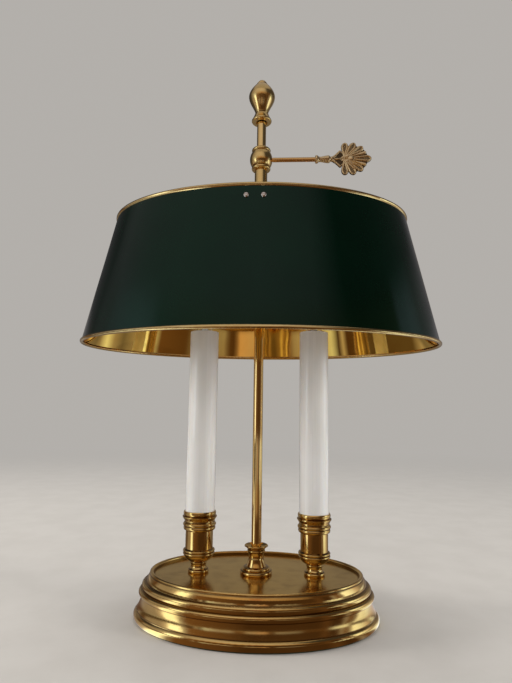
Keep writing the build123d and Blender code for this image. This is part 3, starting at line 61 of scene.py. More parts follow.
# ---------------------------------------------------------------- node trees
class Tree:
    """Short-hand for building one material's nodes."""

    def __init__(self, name):
        self.material = bpy.data.materials.new(name)
        self.material.use_nodes = True
        self.nodes = self.material.node_tree.nodes
        self.links = self.material.node_tree.links
        self.nodes.clear()
        self.out = self.nodes.new("ShaderNodeOutputMaterial")
        self.shader = self.nodes.new("ShaderNodeBsdfPrincipled")
        self.links.new(self.shader.outputs[0], self.out.inputs[0])
        self.place = self.nodes.new("ShaderNodeTexCoord").outputs["Object"]

    def put(self, node, key, value):
        """Sets a socket, or links it where the value is another node's output."""
        socket = node.inputs[key]
        if isinstance(value, bpy.types.NodeSocket):
            self.links.new(value, socket)
        else:
            socket.default_value = value

    def base(self, **sockets):
        """Sets the shader's sockets; an underscore in a key stands for a space."""
        for key, value in sockets.items():
            self.put(self.shader, key.replace("_", " "), value)

    def stretch(self, x, y, z):
        """The object's own coordinates, scaled along each axis."""
        node = self.nodes.new("ShaderNodeMapping")
        self.put(node, "Vector", self.place)
        node.inputs["Scale"].default_value = (x, y, z)
        return node.outputs[0]

    def noise(self, scale, detail=3.0, rough=0.55, where=None, warp=0.0):
        node = self.nodes.new("ShaderNodeTexNoise")
        self.put(node, "Vector", where or self.place)
        self.put(node, "Scale", scale)
        self.put(node, "Detail", detail)
        self.put(node, "Roughness", rough)
        self.put(node, "Distortion", warp)
        return node.outputs["Fac"]

    def ramp(self, value, low, high, to_low=0.0, to_high=1.0):
        """Runs smoothly from to_low to to_high while the value goes from low to high."""
        node = self.nodes.new("ShaderNodeMapRange")
        node.interpolation_type = "SMOOTHSTEP"
        keys = ("Value", "From Min", "From Max", "To Min", "To Max")
        for key, v in zip(keys, (value, low, high, to_low, to_high)):
            self.put(node, key, v)
        return node.outputs[0]

    def math(self, kind, a, b=0.0):
        node = self.nodes.new("ShaderNodeMath")
        node.operation = kind
        self.put(node, 0, a)
        self.put(node, 1, b)
        return node.outputs[0]

    def times(self, a, b):
        return self.math("MULTIPLY", a, b)

    def plus(self, a, b):
        return self.math("ADD", a, b)

    def minus(self, a, b):
        return self.math("SUBTRACT", a, b)

    def reach(self, x, y):
        """Distance from an upright axis."""
        return self.math("SQRT", self.plus(self.times(x, x), self.times(y, y)))

    def mix(self, share, a, b):
        """Colour a, with a share of colour b."""
        node = self.nodes.new("ShaderNodeMix")
        node.data_type = "RGBA"
        self.put(node, 0, share)
        self.put(node, 6, (*a, 1) if isinstance(a, tuple) else a)
        self.put(node, 7, (*b, 1) if isinstance(b, tuple) else b)
        return node.outputs[2]

    def split(self):
        """The object's own x, y and z."""
        node = self.nodes.new("ShaderNodeSeparateXYZ")
        self.put(node, 0, self.place)
        return node.outputs

    def join(self, x, y, z):
        node = self.nodes.new("ShaderNodeCombineXYZ")
        for key, v in enumerate((x, y, z)):
            self.put(node, key, v)
        return node.outputs[0]

    def spots(self, scale):
        """Distance from the nearest of many scattered points."""
        node = self.nodes.new("ShaderNodeTexVoronoi")
        self.put(node, "Vector", self.place)
        self.put(node, "Scale", scale)
        return node.outputs["Distance"]

    def attribute(self, name):
        node = self.nodes.new("ShaderNodeAttribute")
        node.attribute_name = name
        return node.outputs["Fac"]

    def bump(self, height, strength, distance, under=None):
        node = self.nodes.new("ShaderNodeBump")
        self.put(node, "Strength", strength)
        self.put(node, "Distance", distance)
        self.put(node, "Height", height)
        if under is not None:
            self.put(node, "Normal", under)
        return node.outputs[0]


# ---------------------------------------------------------------- materials
# Brass tones, from the body of the metal to what mottles it.
BRASS = (0.77, 0.52, 0.19)
BRASS_DEEP = (0.60, 0.37, 0.11)
BEAD_BRASS = (0.80, 0.58, 0.26)
FINIAL_BRASS = (0.80, 0.56, 0.22)
TUBE_BRASS = (0.90, 0.63, 0.26)
TUBE_BRASS_DEEP = (0.82, 0.54, 0.19)
COPPERY_BRASS = (0.74, 0.45, 0.17)
COPPERY_BRASS_DEEP = (0.62, 0.36, 0.12)
MIRROR_BRASS = (0.90, 0.58, 0.14)
MIRROR_BRASS_DEEP = (0.82, 0.48, 0.10)
WORN_WALL = (0.55, 0.32, 0.09)

# Old polish and painted shade in the grooves, and the heights (mm) of the grooves that hold them.
GRIME_AND_SHADE = (0.15, 0.070, 0.022)
GRIME_AND_SHADE_SHARE = 0.75
BASE_GROOVES = (9.2, 21.3, 27.0, 33.2, 39.6)
SPINE_GROOVES = (42.3, 45.4, 58.5, 60.5, 445.5, 461.7, 499.0, 506.4, 539.0)
CUP_GROOVES = (42.0, 47.1, 49.0, 55.0, 57.5, 60.4, 77.5, 81.2, 85.3, 90.5)

# The base's deck inside the rim: half width, depth over width, and lowest height (mm).
DECK_HALF_W = 96.0
DECK_OVAL = 0.67
DECK_FLOOR_Z = 38.0
# Heights (m) between which the brushed wall fades in and out.
WALL_LOW = (0.0093, 0.0103)
WALL_HIGH = (0.0208, 0.0198)


def turned_lines(tree, axis_x, scale):
    """Noise drawn round an upright axis: it changes with height and radius only."""
    x, y, z = tree.split()
    dx = tree.minus(x, axis_x * MM)
    return tree.noise(scale, 4.0, 0.7, tree.join(tree.reach(dx, y), 0.0, z))


def groove_shade_and_grime(tree, levels, width=0.0007):
    """Share of old polish and painted shade in the grooves at these heights (mm), with an uneven edge."""
    z = tree.split()[2]
    uneven = tree.times(tree.minus(tree.noise(55.0, 4.0, 0.6), 0.5), width)
    height = tree.plus(z, uneven)
    grime_and_shade = 0.0
    for level in levels:
        away = tree.math("ABSOLUTE", tree.minus(height, level * MM))
        grime_and_shade = tree.math("MAXIMUM", grime_and_shade, tree.ramp(away, width, width * 0.2))
    return grime_and_shade


def brass(name, tone, deep, rough, axis_x=None, lines=0.25, spots=0.12, grooves=()):
    """Lacquered brass: warm mottling, faint turning marks, hair scratches, dull spots, and old polish with
    painted shade in the grooves it is given.

    axis_x (mm) is the upright axis that the turning marks run round, if it has any.
    """
    tree = Tree(name)
    mottle = tree.ramp(tree.noise(34.0, 5.0, 0.6, warp=0.4), 0.36, 0.66)
    cloud = tree.ramp(tree.noise(9.0, 2.0), 0.35, 0.7)
    colour = tree.mix(tree.times(mottle, 0.55), tone, deep)
    specks = tree.ramp(tree.spots(420.0), 0.12, 0.05)
    grime_and_shade = tree.times(specks, tree.ramp(tree.noise(60.0, 2.0), 0.58, 0.72))
    colour = tree.mix(tree.times(grime_and_shade, spots * 5), colour, tuple(v * 0.25 for v in deep))
    if grooves:
        # Painted shade: each given groove is darkened towards the grime tone, as old polish together with
        # the shade that falls in it.
        grime_and_shade = groove_shade_and_grime(tree, grooves)
        colour = tree.mix(tree.times(grime_and_shade, GRIME_AND_SHADE_SHARE), colour, GRIME_AND_SHADE)
    dull = tree.plus(tree.times(cloud, 0.5), tree.times(mottle, 0.5))
    tree.base(Base_Color=colour, Metallic=1.0, Roughness=tree.ramp(dull, 0.0, 1.0, *rough))
    scratches = tree.noise(160.0, 5.0, 0.7, tree.stretch(1.0, 1.0, 14.0), 0.3)
    normal = tree.bump(scratches, lines * 0.35, 0.00006)
    if axis_x is not None:
        normal = tree.bump(turned_lines(tree, axis_x, 2600.0), lines, 0.00008, normal)
    tree.base(Normal=normal)
    return tree.material


def base_brass():
    """Satin deck inside the rim, bright mouldings and brushed wall, with old polish and painted shade in the
    grooves and along the deck's edge under the rim.
    """
    tree = Tree("base_brass_satin")
    x, y, z = tree.split()
    sx = tree.math("DIVIDE", x, DECK_HALF_W * MM)
    sy = tree.math("DIVIDE", y, DECK_HALF_W * DECK_OVAL * MM)
    oval = tree.plus(tree.times(sx, sx), tree.times(sy, sy))
    deck = tree.times(tree.math("LESS_THAN", oval, 1.002), tree.math("GREATER_THAN", z, DECK_FLOOR_Z * MM))
    wall = tree.times(tree.ramp(z, *WALL_LOW), tree.ramp(z, *WALL_HIGH))
    mottle = tree.ramp(tree.noise(26.0, 6.0, 0.62, warp=0.5), 0.35, 0.68)
    satin = tree.ramp(tree.noise(150.0, 4.0, 0.6, tree.stretch(0.35, 1.0, 1.0)), 0.3, 0.7)
    along = tree.noise(330.0, 6.0, 0.75, tree.join(tree.times(x, 0.05), 0.0, z))
    colour = tree.mix(tree.times(mottle, 0.5), BRASS, BRASS_DEEP)
    deck_tone = tree.mix(satin, (0.73, 0.50, 0.165), (0.70, 0.47, 0.150))
    colour = tree.mix(deck, colour, deck_tone)
    colour = tree.mix(tree.times(wall, tree.ramp(along, 0.45, 0.8, 0.0, 0.35)), colour, WORN_WALL)
    # Painted shade, with old polish, in the grooves between the mouldings.
    grime_and_shade = groove_shade_and_grime(tree, BASE_GROOVES, 0.0009)
    # Painted shade in the corner where the deck meets the raised rim.
    corner = tree.times(tree.ramp(oval, 0.955, 0.995), deck)
    grime_and_shade = tree.math("MAXIMUM", grime_and_shade, tree.times(corner, GRIME_AND_SHADE_SHARE))
    colour = tree.mix(tree.times(grime_and_shade, GRIME_AND_SHADE_SHARE), colour, GRIME_AND_SHADE)
    bright = tree.ramp(mottle, 0.0, 1.0, 0.05, 0.10)
    deck_rough = tree.ramp(satin, 0.0, 1.0, 0.17, 0.19)
    wall_rough = tree.ramp(along, 0.2, 0.8, 0.10, 0.15)
    rough = tree.plus(bright, tree.times(deck, tree.minus(deck_rough, bright)))
    rough = tree.plus(rough, tree.times(wall, tree.minus(wall_rough, bright)))
    rough = tree.plus(rough, tree.times(grime_and_shade, 0.18))
    tree.base(Base_Color=colour, Metallic=1.0, Roughness=rough)
    normal = tree.bump(tree.times(along, wall), 0.22, 0.00010)
    ripple = tree.times(tree.noise(22.0, 2.0), tree.minus(1.0, deck))
    normal = tree.bump(ripple, 0.05, 0.0012, normal)
    tree.base(Normal=normal)
    return tree.material


def green_enamel():
    """Deep green lacquer over metal: nearly black until a light strikes it."""
    tree = Tree("green_lacquer")
    cloud = tree.ramp(tree.noise(12.0, 3.0, 0.5), 0.3, 0.7)
    tree.base(
        Base_Color=tree.mix(cloud, (0.0010, 0.0185, 0.0080), (0.0007, 0.0140, 0.0062)),
        Metallic=0.7,
        Roughness=tree.ramp(tree.noise(40.0, 4.0), 0.3, 0.7, 0.26, 0.34),
        Specular_IOR_Level=0.0,
        Coat_Weight=1.0,
        Coat_Roughness=0.03,
        Coat_IOR=1.27,
    )
    peel = tree.noise(300.0, 2.0, 0.5)
    tree.base(Normal=tree.bump(peel, 0.03, 0.00015))
    tree.base(Coat_Normal=tree.bump(tree.noise(26.0, 2.0), 0.05, 0.0010, tree.bump(peel, 0.03, 0.00015)))
    return tree.material


def candle_plastic():
    """Off-white candle cover with a gloss coat, faint moulding streaks and handling marks."""
    tree = Tree("candle_cover")
    streak = tree.noise(170.0, 2.0, 0.5, tree.stretch(1.0, 1.0, 0.02))
    cloud = tree.noise(30.0, 3.0, 0.6, tree.stretch(1.0, 1.0, 0.35))
    colour = tree.mix(tree.ramp(cloud, 0.35, 0.7), (0.80, 0.79, 0.775), (0.74, 0.73, 0.705))
    specks = tree.times(tree.ramp(tree.spots(260.0), 0.07, 0.02), tree.ramp(cloud, 0.5, 0.62))
    tree.base(
        Base_Color=tree.mix(tree.times(specks, 0.5), colour, (0.42, 0.38, 0.32)),
        Roughness=tree.ramp(streak, 0.3, 0.75, 0.20, 0.34),
        Subsurface_Weight=0.25,
        Subsurface_Radius=(0.004, 0.003, 0.002),
        Coat_Weight=0.6,
        Coat_Roughness=0.05,
    )
    tree.base(Normal=tree.bump(streak, 0.07, 0.00010, tree.bump(cloud, 0.08, 0.0006)))
    return tree.material


def antique_brass():
    """Cast brass: worn bright on the ridges, brown wax left in the hollows."""
    tree = Tree("antique_cast_brass")
    height = tree.attribute("relief")
    pits = tree.noise(900.0, 4.0, 0.7)
    wear = tree.plus(height, tree.times(tree.minus(pits, 0.5), 0.30))
    worn = tree.ramp(wear, 0.22, 0.66)
    ridge = tree.mix(tree.noise(140.0, 3.0), (0.82, 0.63, 0.36), (0.70, 0.50, 0.25))
    hollow = tree.mix(tree.noise(220.0, 3.0), (0.045, 0.026, 0.010), (0.11, 0.062, 0.022))
    tree.base(
        Base_Color=tree.mix(worn, hollow, ridge),
        Metallic=tree.ramp(worn, 0.0, 1.0, 0.55, 1.0),
        Roughness=tree.ramp(worn, 0.0, 1.0, 0.55, 0.27),
    )
    tree.base(Normal=tree.bump(pits, 0.25, 0.00008))
    return tree.material


def plated(name, tone, rough=(0.22, 0.38), scale=500.0):
    """Plated or bare metal of the hidden fastenings: fine grain and small stains."""
    tree = Tree(name)
    grain = tree.noise(scale, 4.0, 0.65)
    stain = tree.ramp(tree.noise(80.0, 4.0, 0.6), 0.5, 0.72)
    colour = tree.mix(tree.times(stain, 0.5), tone, tuple(v * 0.55 for v in tone))
    tree.base(Base_Color=colour, Metallic=1.0, Roughness=tree.ramp(grain, 0.3, 0.7, *rough))
    tree.base(Normal=tree.bump(grain, 0.2, 0.00008))
    return tree.material


def moulded(name, tone, rough=(0.38, 0.52)):
    """Moulded plastic, resin or wire insulation with a fine grain and faint dust."""
    tree = Tree(name)
    skin = tree.noise(700.0, 3.0, 0.6)
    dust = tree.ramp(tree.noise(110.0, 5.0, 0.65), 0.5, 0.78)
    pale = tuple(min(1.0, v * 0.8 + 0.05) for v in tone)
    tree.base(
        Base_Color=tree.mix(tree.times(dust, 0.5), tone, pale),
        Roughness=tree.ramp(skin, 0.3, 0.7, *rough),
    )
    tree.base(Normal=tree.bump(skin, 0.2, 0.00010))
    return tree.material


def cast_iron():
    """Rough grey casting with patches of rust."""
    tree = Tree("cast_iron_weight")
    sand = tree.noise(260.0, 6.0, 0.7)
    rust = tree.ramp(tree.noise(45.0, 5.0, 0.65), 0.52, 0.7)
    tree.base(
        Base_Color=tree.mix(rust, (0.055, 0.055, 0.058), (0.14, 0.06, 0.025)),
        Metallic=tree.ramp(rust, 0.0, 1.0, 0.8, 0.1),
        Roughness=tree.ramp(sand, 0.3, 0.7, 0.5, 0.75),
    )
    tree.base(Normal=tree.bump(sand, 0.6, 0.0004))
    return tree.material


def felt():
    """Pressed green felt, toned nearly black as painted shade under the base's foot: tangled fibres,
    slightly lighter nap and worn patches.
    """
    tree = Tree("green_felt")
    fibres = tree.noise(950.0, 6.0, 0.8, warp=2.5)
    patch = tree.ramp(tree.noise(28.0, 4.0), 0.4, 0.7)
    # Painted shade: the felt's green is kept nearly black so that it reads as the shadow under the base.
    colour = tree.mix(tree.ramp(fibres, 0.35, 0.7), (0.008, 0.022, 0.011), (0.020, 0.048, 0.024))
    tree.base(
        Base_Color=tree.mix(tree.times(patch, 0.4), colour, (0.035, 0.055, 0.034)),
        Roughness=tree.ramp(fibres, 0.3, 0.7, 0.85, 1.0),
        Sheen_Weight=0.5,
        Sheen_Roughness=0.4,
    )
    tree.base(Normal=tree.bump(fibres, 0.8, 0.0005))
    return tree.material


def clear_glass():
    """Clear blown glass, faintly rippled."""
    tree = Tree("lamp_glass")
    ripple = tree.noise(70.0, 2.0, 0.4)
    tree.base(
        Base_Color=tree.mix(tree.ramp(ripple, 0.3, 0.7), (0.97, 0.97, 0.95), (0.93, 0.94, 0.92)),
        Roughness=tree.ramp(ripple, 0.3, 0.7, 0.0, 0.02),
        IOR=1.48,
        Transmission_Weight=1.0,
    )
    tree.base(Normal=tree.bump(ripple, 0.10, 0.0004))
    return tree.material


materials = {
    "base_brass": base_brass(),
    "turned_brass": brass(
        "turned_brass_lacquered", BRASS, BRASS_DEEP, (0.05, 0.12), 0.0, 0.2, grooves=SPINE_GROOVES
    ),
    "finial_brass": brass(
        "finial_brass_aged", FINIAL_BRASS, BRASS, (0.10, 0.22), 0.0, 0.22, 0.3, SPINE_GROOVES
    ),
    "left_cup_brass": brass(
        "left_cup_brass_turned", BRASS, BRASS_DEEP, (0.05, 0.11), -CANDLE_X, 0.2, grooves=CUP_GROOVES
    ),
    "right_cup_brass": brass(
        "right_cup_brass_turned", BRASS, BRASS_DEEP, (0.05, 0.11), CANDLE_X, 0.2, grooves=CUP_GROOVES
    ),
    "polished_brass": brass("polished_brass_tube", TUBE_BRASS, TUBE_BRASS_DEEP, (0.06, 0.14)),
    "key_rod_brass": brass("key_rod_copper_brass", COPPERY_BRASS, COPPERY_BRASS_DEEP, (0.16, 0.26)),
    "bead_brass": brass("bead_brass_polished", BEAD_BRASS, BRASS, (0.08, 0.16), lines=0.2),
    "shade_inner_brass": brass(
        "shade_inner_brass_mirror", MIRROR_BRASS, MIRROR_BRASS_DEEP, (0.02, 0.05), lines=0.06, spots=0.06
    ),
    "antique_brass": antique_brass(),
    "green_enamel": green_enamel(),
    "candle_white": candle_plastic(),
    "bulb_glass": clear_glass(),
    "plated_steel": plated("zinc_plated_steel", (0.62, 0.62, 0.58)),
    "nickel": plated("nickel_plate", (0.70, 0.64, 0.58), (0.12, 0.24), 700.0),
    "aluminium": plated("spun_aluminium", (0.74, 0.74, 0.73), (0.25, 0.4)),
    "contact_brass": plated("contact_spring_brass", (0.72, 0.52, 0.24), (0.25, 0.38)),
    "filament": plated("tungsten_wire", (0.30, 0.29, 0.28), (0.3, 0.45)),
    "iron_weight": cast_iron(),
    "felt": felt(),
    "socket_resin": moulded("brown_phenolic", (0.045, 0.022, 0.012), (0.3, 0.45)),
    "black_insulation": moulded("black_wire_insulation", (0.018, 0.018, 0.018)),
    "white_insulation": moulded("white_wire_insulation", (0.70, 0.69, 0.65)),
    "connector_plastic": moulded("amber_connector_plastic", (0.62, 0.27, 0.04), (0.32, 0.45)),
    "black_plastic": moulded("black_bushing_nylon", (0.02, 0.02, 0.02), (0.3, 0.42)),
}

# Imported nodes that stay: each takes the material of its slot, or one of its own.
own_material = {
    "finial": "finial_brass",
    "clamp_collar": "finial_brass",
    "sleeve_tube": "finial_brass",
    "left_candle_cup": "left_cup_brass",
    "right_candle_cup": "right_cup_brass",
    "key_rod": "key_rod_brass",
    "shade_top_rim": "bead_brass",
    "shade_bottom_rim": "bead_brass",
}
node_slot = {part["node"]: part["material_slot"] for part in frame["record"]["subparts"]}
for name, node in nodes.items():
    finish = materials[own_material.get(name, node_slot[name])]
    for place in node.material_slots:
        place.material = finish


# ---------------------------------------------------------------- meshes
def new_piece(name, bm, body, finishes, sharp=32.0):
    """Turns a bmesh in metres into a smooth-shaded piece that rides on a body.

    Edges sharper than so many degrees stay crisp.
    """
    bmesh.ops.recalc_face_normals(bm, faces=bm.faces)
    mesh = bpy.data.meshes.new(name)
    bm.to_mesh(mesh)
    bm.free()
    for polygon in mesh.polygons:
        polygon.use_smooth = True
    mesh.set_sharp_from_angle(angle=math.radians(sharp))
    for finish in finishes:
        mesh.materials.append(materials[finish])
    piece = bpy.data.objects.new(name, mesh)
    bpy.context.scene.collection.objects.link(piece)
    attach(piece, body)
    return piece


def add_rings(bm, rings, closed=False, pick=None):
    """Joins rings of points (mm) with quads; a ring of one point closes like a tip.

    pick gives the material's number for the band of faces above each ring.
    """
    made = [[bm.verts.new(Vector(p) * MM) for p in ring] for ring in rings]
    pairs = list(zip(made, made[1:] + made[:1])) if closed else list(zip(made, made[1:]))
    for level, (low, high) in enumerate(pairs):
        count = max(len(low), len(high))
        if count == 1:
            continue
        for k in range(count):
            n = (k + 1) % count
            if len(low) == 1:
                corners = (low[0], high[n], high[k])
            elif len(high) == 1:
                corners = (low[k], low[n], high[0])
            else:
                corners = (low[k], low[n], high[n], high[k])
            face = bm.faces.new(corners)
            if pick:
                face.material_index = pick(level)


def turned_ring(r, z, segments, axis_x):
    """A level ring round an upright axis, or its centre where the radius is nothing."""
    if r < 1e-6:
        return [(axis_x, 0.0, z)]
    return [
        (axis_x + r * math.cos(TAU * k / segments), r * math.sin(TAU * k / segments), z)
        for k in range(segments)
    ]


# ---------------------------------------------------------------- shade
# Half width, half depth and height (mm) of the sheet's lower and upper edges, and its thickness.
SHADE_FOOT = (176.0, 117.0, 255.5)
SHADE_HEAD = (147.0, 97.6, 381.5)
SHADE_T = 0.8
SHADE_SEGMENTS = 360
SHADE_LEVELS = 48
BROAD_DENT = 0.16
SMALL_DENT = 0.03


def shade_ring(share, inset):
    """Oval at a share of the shade's height, with the soft dents that sheet metal has."""
    a, b, z = (f + (h - f) * share for f, h in zip(SHADE_FOOT, SHADE_HEAD))
    fade = math.sin(math.pi * share) ** 0.5 if 0 < share < 1 else 0.0
    ring = []
    for k in range(SHADE_SEGMENTS):
        t = TAU * k / SHADE_SEGMENTS
        x, y = (a - inset) * math.cos(t), (b - inset) * math.sin(t)
        n = Vector((math.cos(t) / a, math.sin(t) / b)).normalized()
        dent = BROAD_DENT * fade * noise.noise(Vector((x * 0.013, y * 0.013, z * 0.017)))
        dent += SMALL_DENT * fade * noise.noise(Vector((x * 0.05, y * 0.05, z * 0.05 + 7)))
        ring.append((x + n.x * dent, y + n.y * dent, z))
    return ring


def build_shade():
    """Tapered oval sheet, enamelled outside and brass inside."""
    bm = bmesh.new()
    shares = [k / SHADE_LEVELS for k in range(SHADE_LEVELS + 1)]
    outside = [shade_ring(share, 0.0) for share in shares]
    inside = [shade_ring(share, SHADE_T) for share in reversed(shares)]
    add_rings(bm, outside + inside, closed=True, pick=lambda level: 0 if level <= SHADE_LEVELS else 1)
    finishes = ["green_enamel", "shade_inner_brass"]
    shade = new_piece("shade_sheet", bm, "carriage", finishes, 40.0)
    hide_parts("shade_shell")


build_shade()


# ---------------------------------------------------------------- palmette handle
# The key's height, the fan's root along the key, and heights of relief above its middle (mm).
KEY_Z = 453.6
FAN_X = 87.0
WEB_H = 0.75
CALYX_WEB_H = 0.55 * WEB_H
RIM_H = 0.45
CENTRE_H = 1.2
# A petal's bowl above the web, and the width and height of its raised border, which grows outwards.
BOWL_H = 0.25
BORDER_W = 1.35
BORDER_H = 0.95
BORDER_GROWTH = 0.25
# The web's reach along the key, what it loses across it, and its limits between the calyx's arms.
WEB_REACH = (16.4, 8.4, 2.2)
CALYX_SLOPE = 0.80
CALYX_HALF_W = 8.0
# Width of the rounded edge, its height's share at the rim, and the relief that counts as worn (mm).
EDGE_W = 0.8
EDGE_SHARE = 0.42
RELIEF_FLOOR = 0.55
RELIEF_SPAN = 1.35
FAN_SEGMENTS = 540
FAN_LEVELS = 66
SOCKET_SEGMENTS = 120
FLUTES = 10
# Each petal: angle from the key's axis, reach, half width, how pointed its tip is.
PETALS = (
    (0.0, 28.6, 3.9, 1.35),
    (17.0, 24.2, 1.9, 1.1), (-17.0, 24.2, 1.9, 1.1),
    (33.0, 23.4, 3.5, 0.9), (-33.0, 23.4, 3.5, 0.9),
    (57.0, 20.4, 3.9, 0.85), (-57.0, 20.4, 3.9, 0.85),
    (87.0, 17.6, 3.9, 0.85), (-87.0, 17.6, 3.9, 0.85),
)
ARM_FOOT = (72.6, 0.0)
ARM_BEND = (77.4, 3.2)
ARM_TIP = (82.6, 8.3)
# Raised strokes of the calyx's upper half: start, end, half width, height.
STROKES = (
    (ARM_FOOT, ARM_BEND, 1.45, 1.9), (ARM_BEND, ARM_TIP, 1.30, 1.7), (ARM_TIP, (86.4, 5.0), 1.0, 1.3),
    ((77.0, 0.0), (82.5, 0.0), 0.7, 1.3), ((82.5, 0.0), (85.4, 2.6), 0.7, 1.3),
)
# Round bosses of its upper half: centre, radius, height.
BOSSES = (((85.8, 1.4), 1.9, 1.9), ((90.4, 2.5), 2.4, 2.3), ((94.2, 0.0), 4.0, 2.7))


def petal_height(x, y, petal):
    """Height (mm) of one petal over a point, or None outside it: raised border, sunk bowl."""
    angle, reach, half, point = petal
    turn = math.radians(angle)
    s = (x - FAN_X) * math.cos(turn) + y * math.sin(turn)
    t = abs(y * math.cos(turn) - (x - FAN_X) * math.sin(turn))
    if not 0 < s < reach:
        return None
    belly = reach - half * 1.25
    if s < belly:
        width = half * (0.20 + 0.80 * (s / belly) ** 0.9)
    else:
        width = half * max(0.0, 1 - ((s - belly) / (reach - belly)) ** 2) ** (0.5 * point)
    if t >= width:
        return None
    inner = (width - t) / BORDER_W
    border = math.sin(math.pi * min(1.0, inner / 2)) if inner < 2 else 0.0
    return WEB_H + BOWL_H + (BORDER_H + BORDER_GROWTH * s / reach) * border


def stroke_height(x, y, start, end, radius, top):
    """A rounded raised stroke between two points."""
    ax, ay = end[0] - start[0], end[1] - start[1]
    share = ((x - start[0]) * ax + (y - start[1]) * ay) / (ax * ax + ay * ay)
    share = min(1.0, max(0.0, share))
    away = math.hypot(x - start[0] - ax * share, y - start[1] - ay * share)
    if away >= radius:
        return None
    return top * math.sqrt(1 - (away / radius) ** 2)


def dome_height(x, y, place, radius, top):
    """A round boss."""
    away = math.hypot(x - place[0], y - place[1])
    return top * math.sqrt(1 - (away / radius) ** 2) if away < radius else None


def web_height(x, y):
    """The thin web behind the petals and between the calyx's arms."""
    away, turn = math.hypot(x - FAN_X, y), abs(math.degrees(math.atan2(y, x - FAN_X)))
    if turn < 96:
        least, ahead, across = WEB_REACH
        turn = math.radians(turn)
        reach = least + ahead * math.cos(turn) ** 2 - across * math.sin(turn) ** 2
        return WEB_H if away < reach else None
    half = min((x - ARM_FOOT[0]) * CALYX_SLOPE, CALYX_HALF_W)
    return CALYX_WEB_H if abs(y) < half and ARM_FOOT[0] < x < FAN_X + 1 else None


def palmette_height(x, y):
    """Tallest form over a point of the handle's middle plane, or None outside its outline."""
    forms = [petal_height(x, y, petal) for petal in PETALS]
    forms += [stroke_height(x, abs(y), *stroke) for stroke in STROKES]
    forms += [dome_height(x, abs(y), *boss) for boss in BOSSES]
    forms.append(web_height(x, y))
    forms = [form for form in forms if form is not None]
    return max(forms) if forms else None


def palmette_rim(turn):
    """Reach of the outline from the fan's root in one direction."""
    reach = 29.0
    while reach > 1.0 and palmette_height(FAN_X + reach * math.cos(turn), reach * math.sin(turn)) is None:
        reach -= 0.12
    return reach


def give_relief(piece, relief):
    """Stores each point's share of relief, which decides where the cast brass is worn bright."""
    values = piece.data.attributes.new("relief", "FLOAT", "POINT")
    values.data.foreach_set("value", relief)


def build_palmette():
    """Cast palmette: one sheet of relief on each face, joined round a rounded edge."""
    bm = bmesh.new()
    around = range(FAN_SEGMENTS)
    reaches = [palmette_rim(TAU * k / FAN_SEGMENTS) for k in around]
    smooth = [(reaches[k - 1] + 2 * reaches[k] + reaches[(k + 1) % FAN_SEGMENTS]) / 4 for k in around]
    heights = {}
    outline = {}
    for side in (-1, 1):
        centre = bm.verts.new(Vector((FAN_X, side * CENTRE_H, KEY_Z)) * MM)
        heights[centre] = CENTRE_H
        rings = []
        for level in range(1, FAN_LEVELS + 1):
            ring = []
            share = level / FAN_LEVELS
            for k in around:
                turn = TAU * k / FAN_SEGMENTS
                reach = smooth[k] * share
                x, y = FAN_X + reach * math.cos(turn), reach * math.sin(turn)
                height = palmette_height(x, y) or RIM_H
                edge = (1 - share) * smooth[k]
                rise = math.sqrt(max(0.0, 1 - (1 - min(1.0, edge / EDGE_W)) ** 2))
                height *= EDGE_SHARE + (1 - EDGE_SHARE) * rise
                vert = bm.verts.new(Vector((x, side * height, KEY_Z + y)) * MM)
                heights[vert] = height
                ring.append(vert)
            rings.append(ring)
        for k in around:
            n = (k + 1) % FAN_SEGMENTS
            bm.faces.new((centre, rings[0][k], rings[0][n]))
            for low, high in zip(rings, rings[1:]):
                bm.faces.new((low[k], high[k], high[n], low[n]))
        outline[side] = rings[-1]
    for k in around:
        n = (k + 1) % FAN_SEGMENTS
        bm.faces.new((outline[-1][k], outline[1][k], outline[1][n], outline[-1][n]))
    bm.verts.index_update()
    relief = [0.0] * len(bm.verts)
    for vert, height in heights.items():
        relief[vert.index] = min(1.0, max(0.0, (height - RELIEF_FLOOR) / RELIEF_SPAN))
    fan = new_piece("palmette_fan", bm, "key", ["antique_brass"], 60.0)
    give_relief(fan, relief)
    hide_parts("key_palmette")


# The handle's socket from the shank outwards: place along the key, radius (mm).
KEY_PROFILE = (
    (56.8, 0.0), (56.8, 3.6), (57.2, 4.1), (58.2, 4.3), (59.3, 4.1), (59.8, 3.5), (60.3, 3.0),
    (61.6, 2.75), (63.0, 2.8), (65.0, 3.15), (67.0, 3.6), (69.0, 3.9), (70.6, 4.0), (71.6, 3.7),
    (72.2, 3.0), (72.8, 2.6), (73.8, 2.9), (74.8, 2.7), (75.8, 2.1), (78.0, 1.6), (81.0, 1.2),
    (84.6, 0.9), (84.8, 0.0),
)


def build_palmette_socket():
    """Ferrule, fluted bell and root of the handle, turned round the key's own axis."""
    bm = bmesh.new()
    rings = []
    for x, r in KEY_PROFILE:
        flute = 0.16 if 61.0 < x < 71.0 else 0.0
        ring = []
        for k in range(SOCKET_SEGMENTS if r else 1):
            turn = TAU * k / SOCKET_SEGMENTS
            reach = r - flute * (0.5 - 0.5 * math.cos(FLUTES * turn)) * min(1.0, r / 3)
            ring.append((x, reach * math.cos(turn), KEY_Z + reach * math.sin(turn)))
        rings.append(ring)
    add_rings(bm, rings)
    socket = new_piece("palmette_socket", bm, "key", ["antique_brass"], 50.0)
    relief = []
    for vert in socket.data.vertices:
        reach = math.hypot(vert.co.y, vert.co.z - KEY_Z * MM) / MM
        x = vert.co.x / MM
        dark = 0.35 if 59.6 < x < 61.5 or 71.9 < x < 73.0 else 0.0
        relief.append(0.9 - dark - (0.25 if 61.5 < x < 70.8 and reach < 2.9 else 0.0))
    give_relief(socket, relief)
    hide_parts("key_palmette")


build_palmette()
build_palmette_socket()


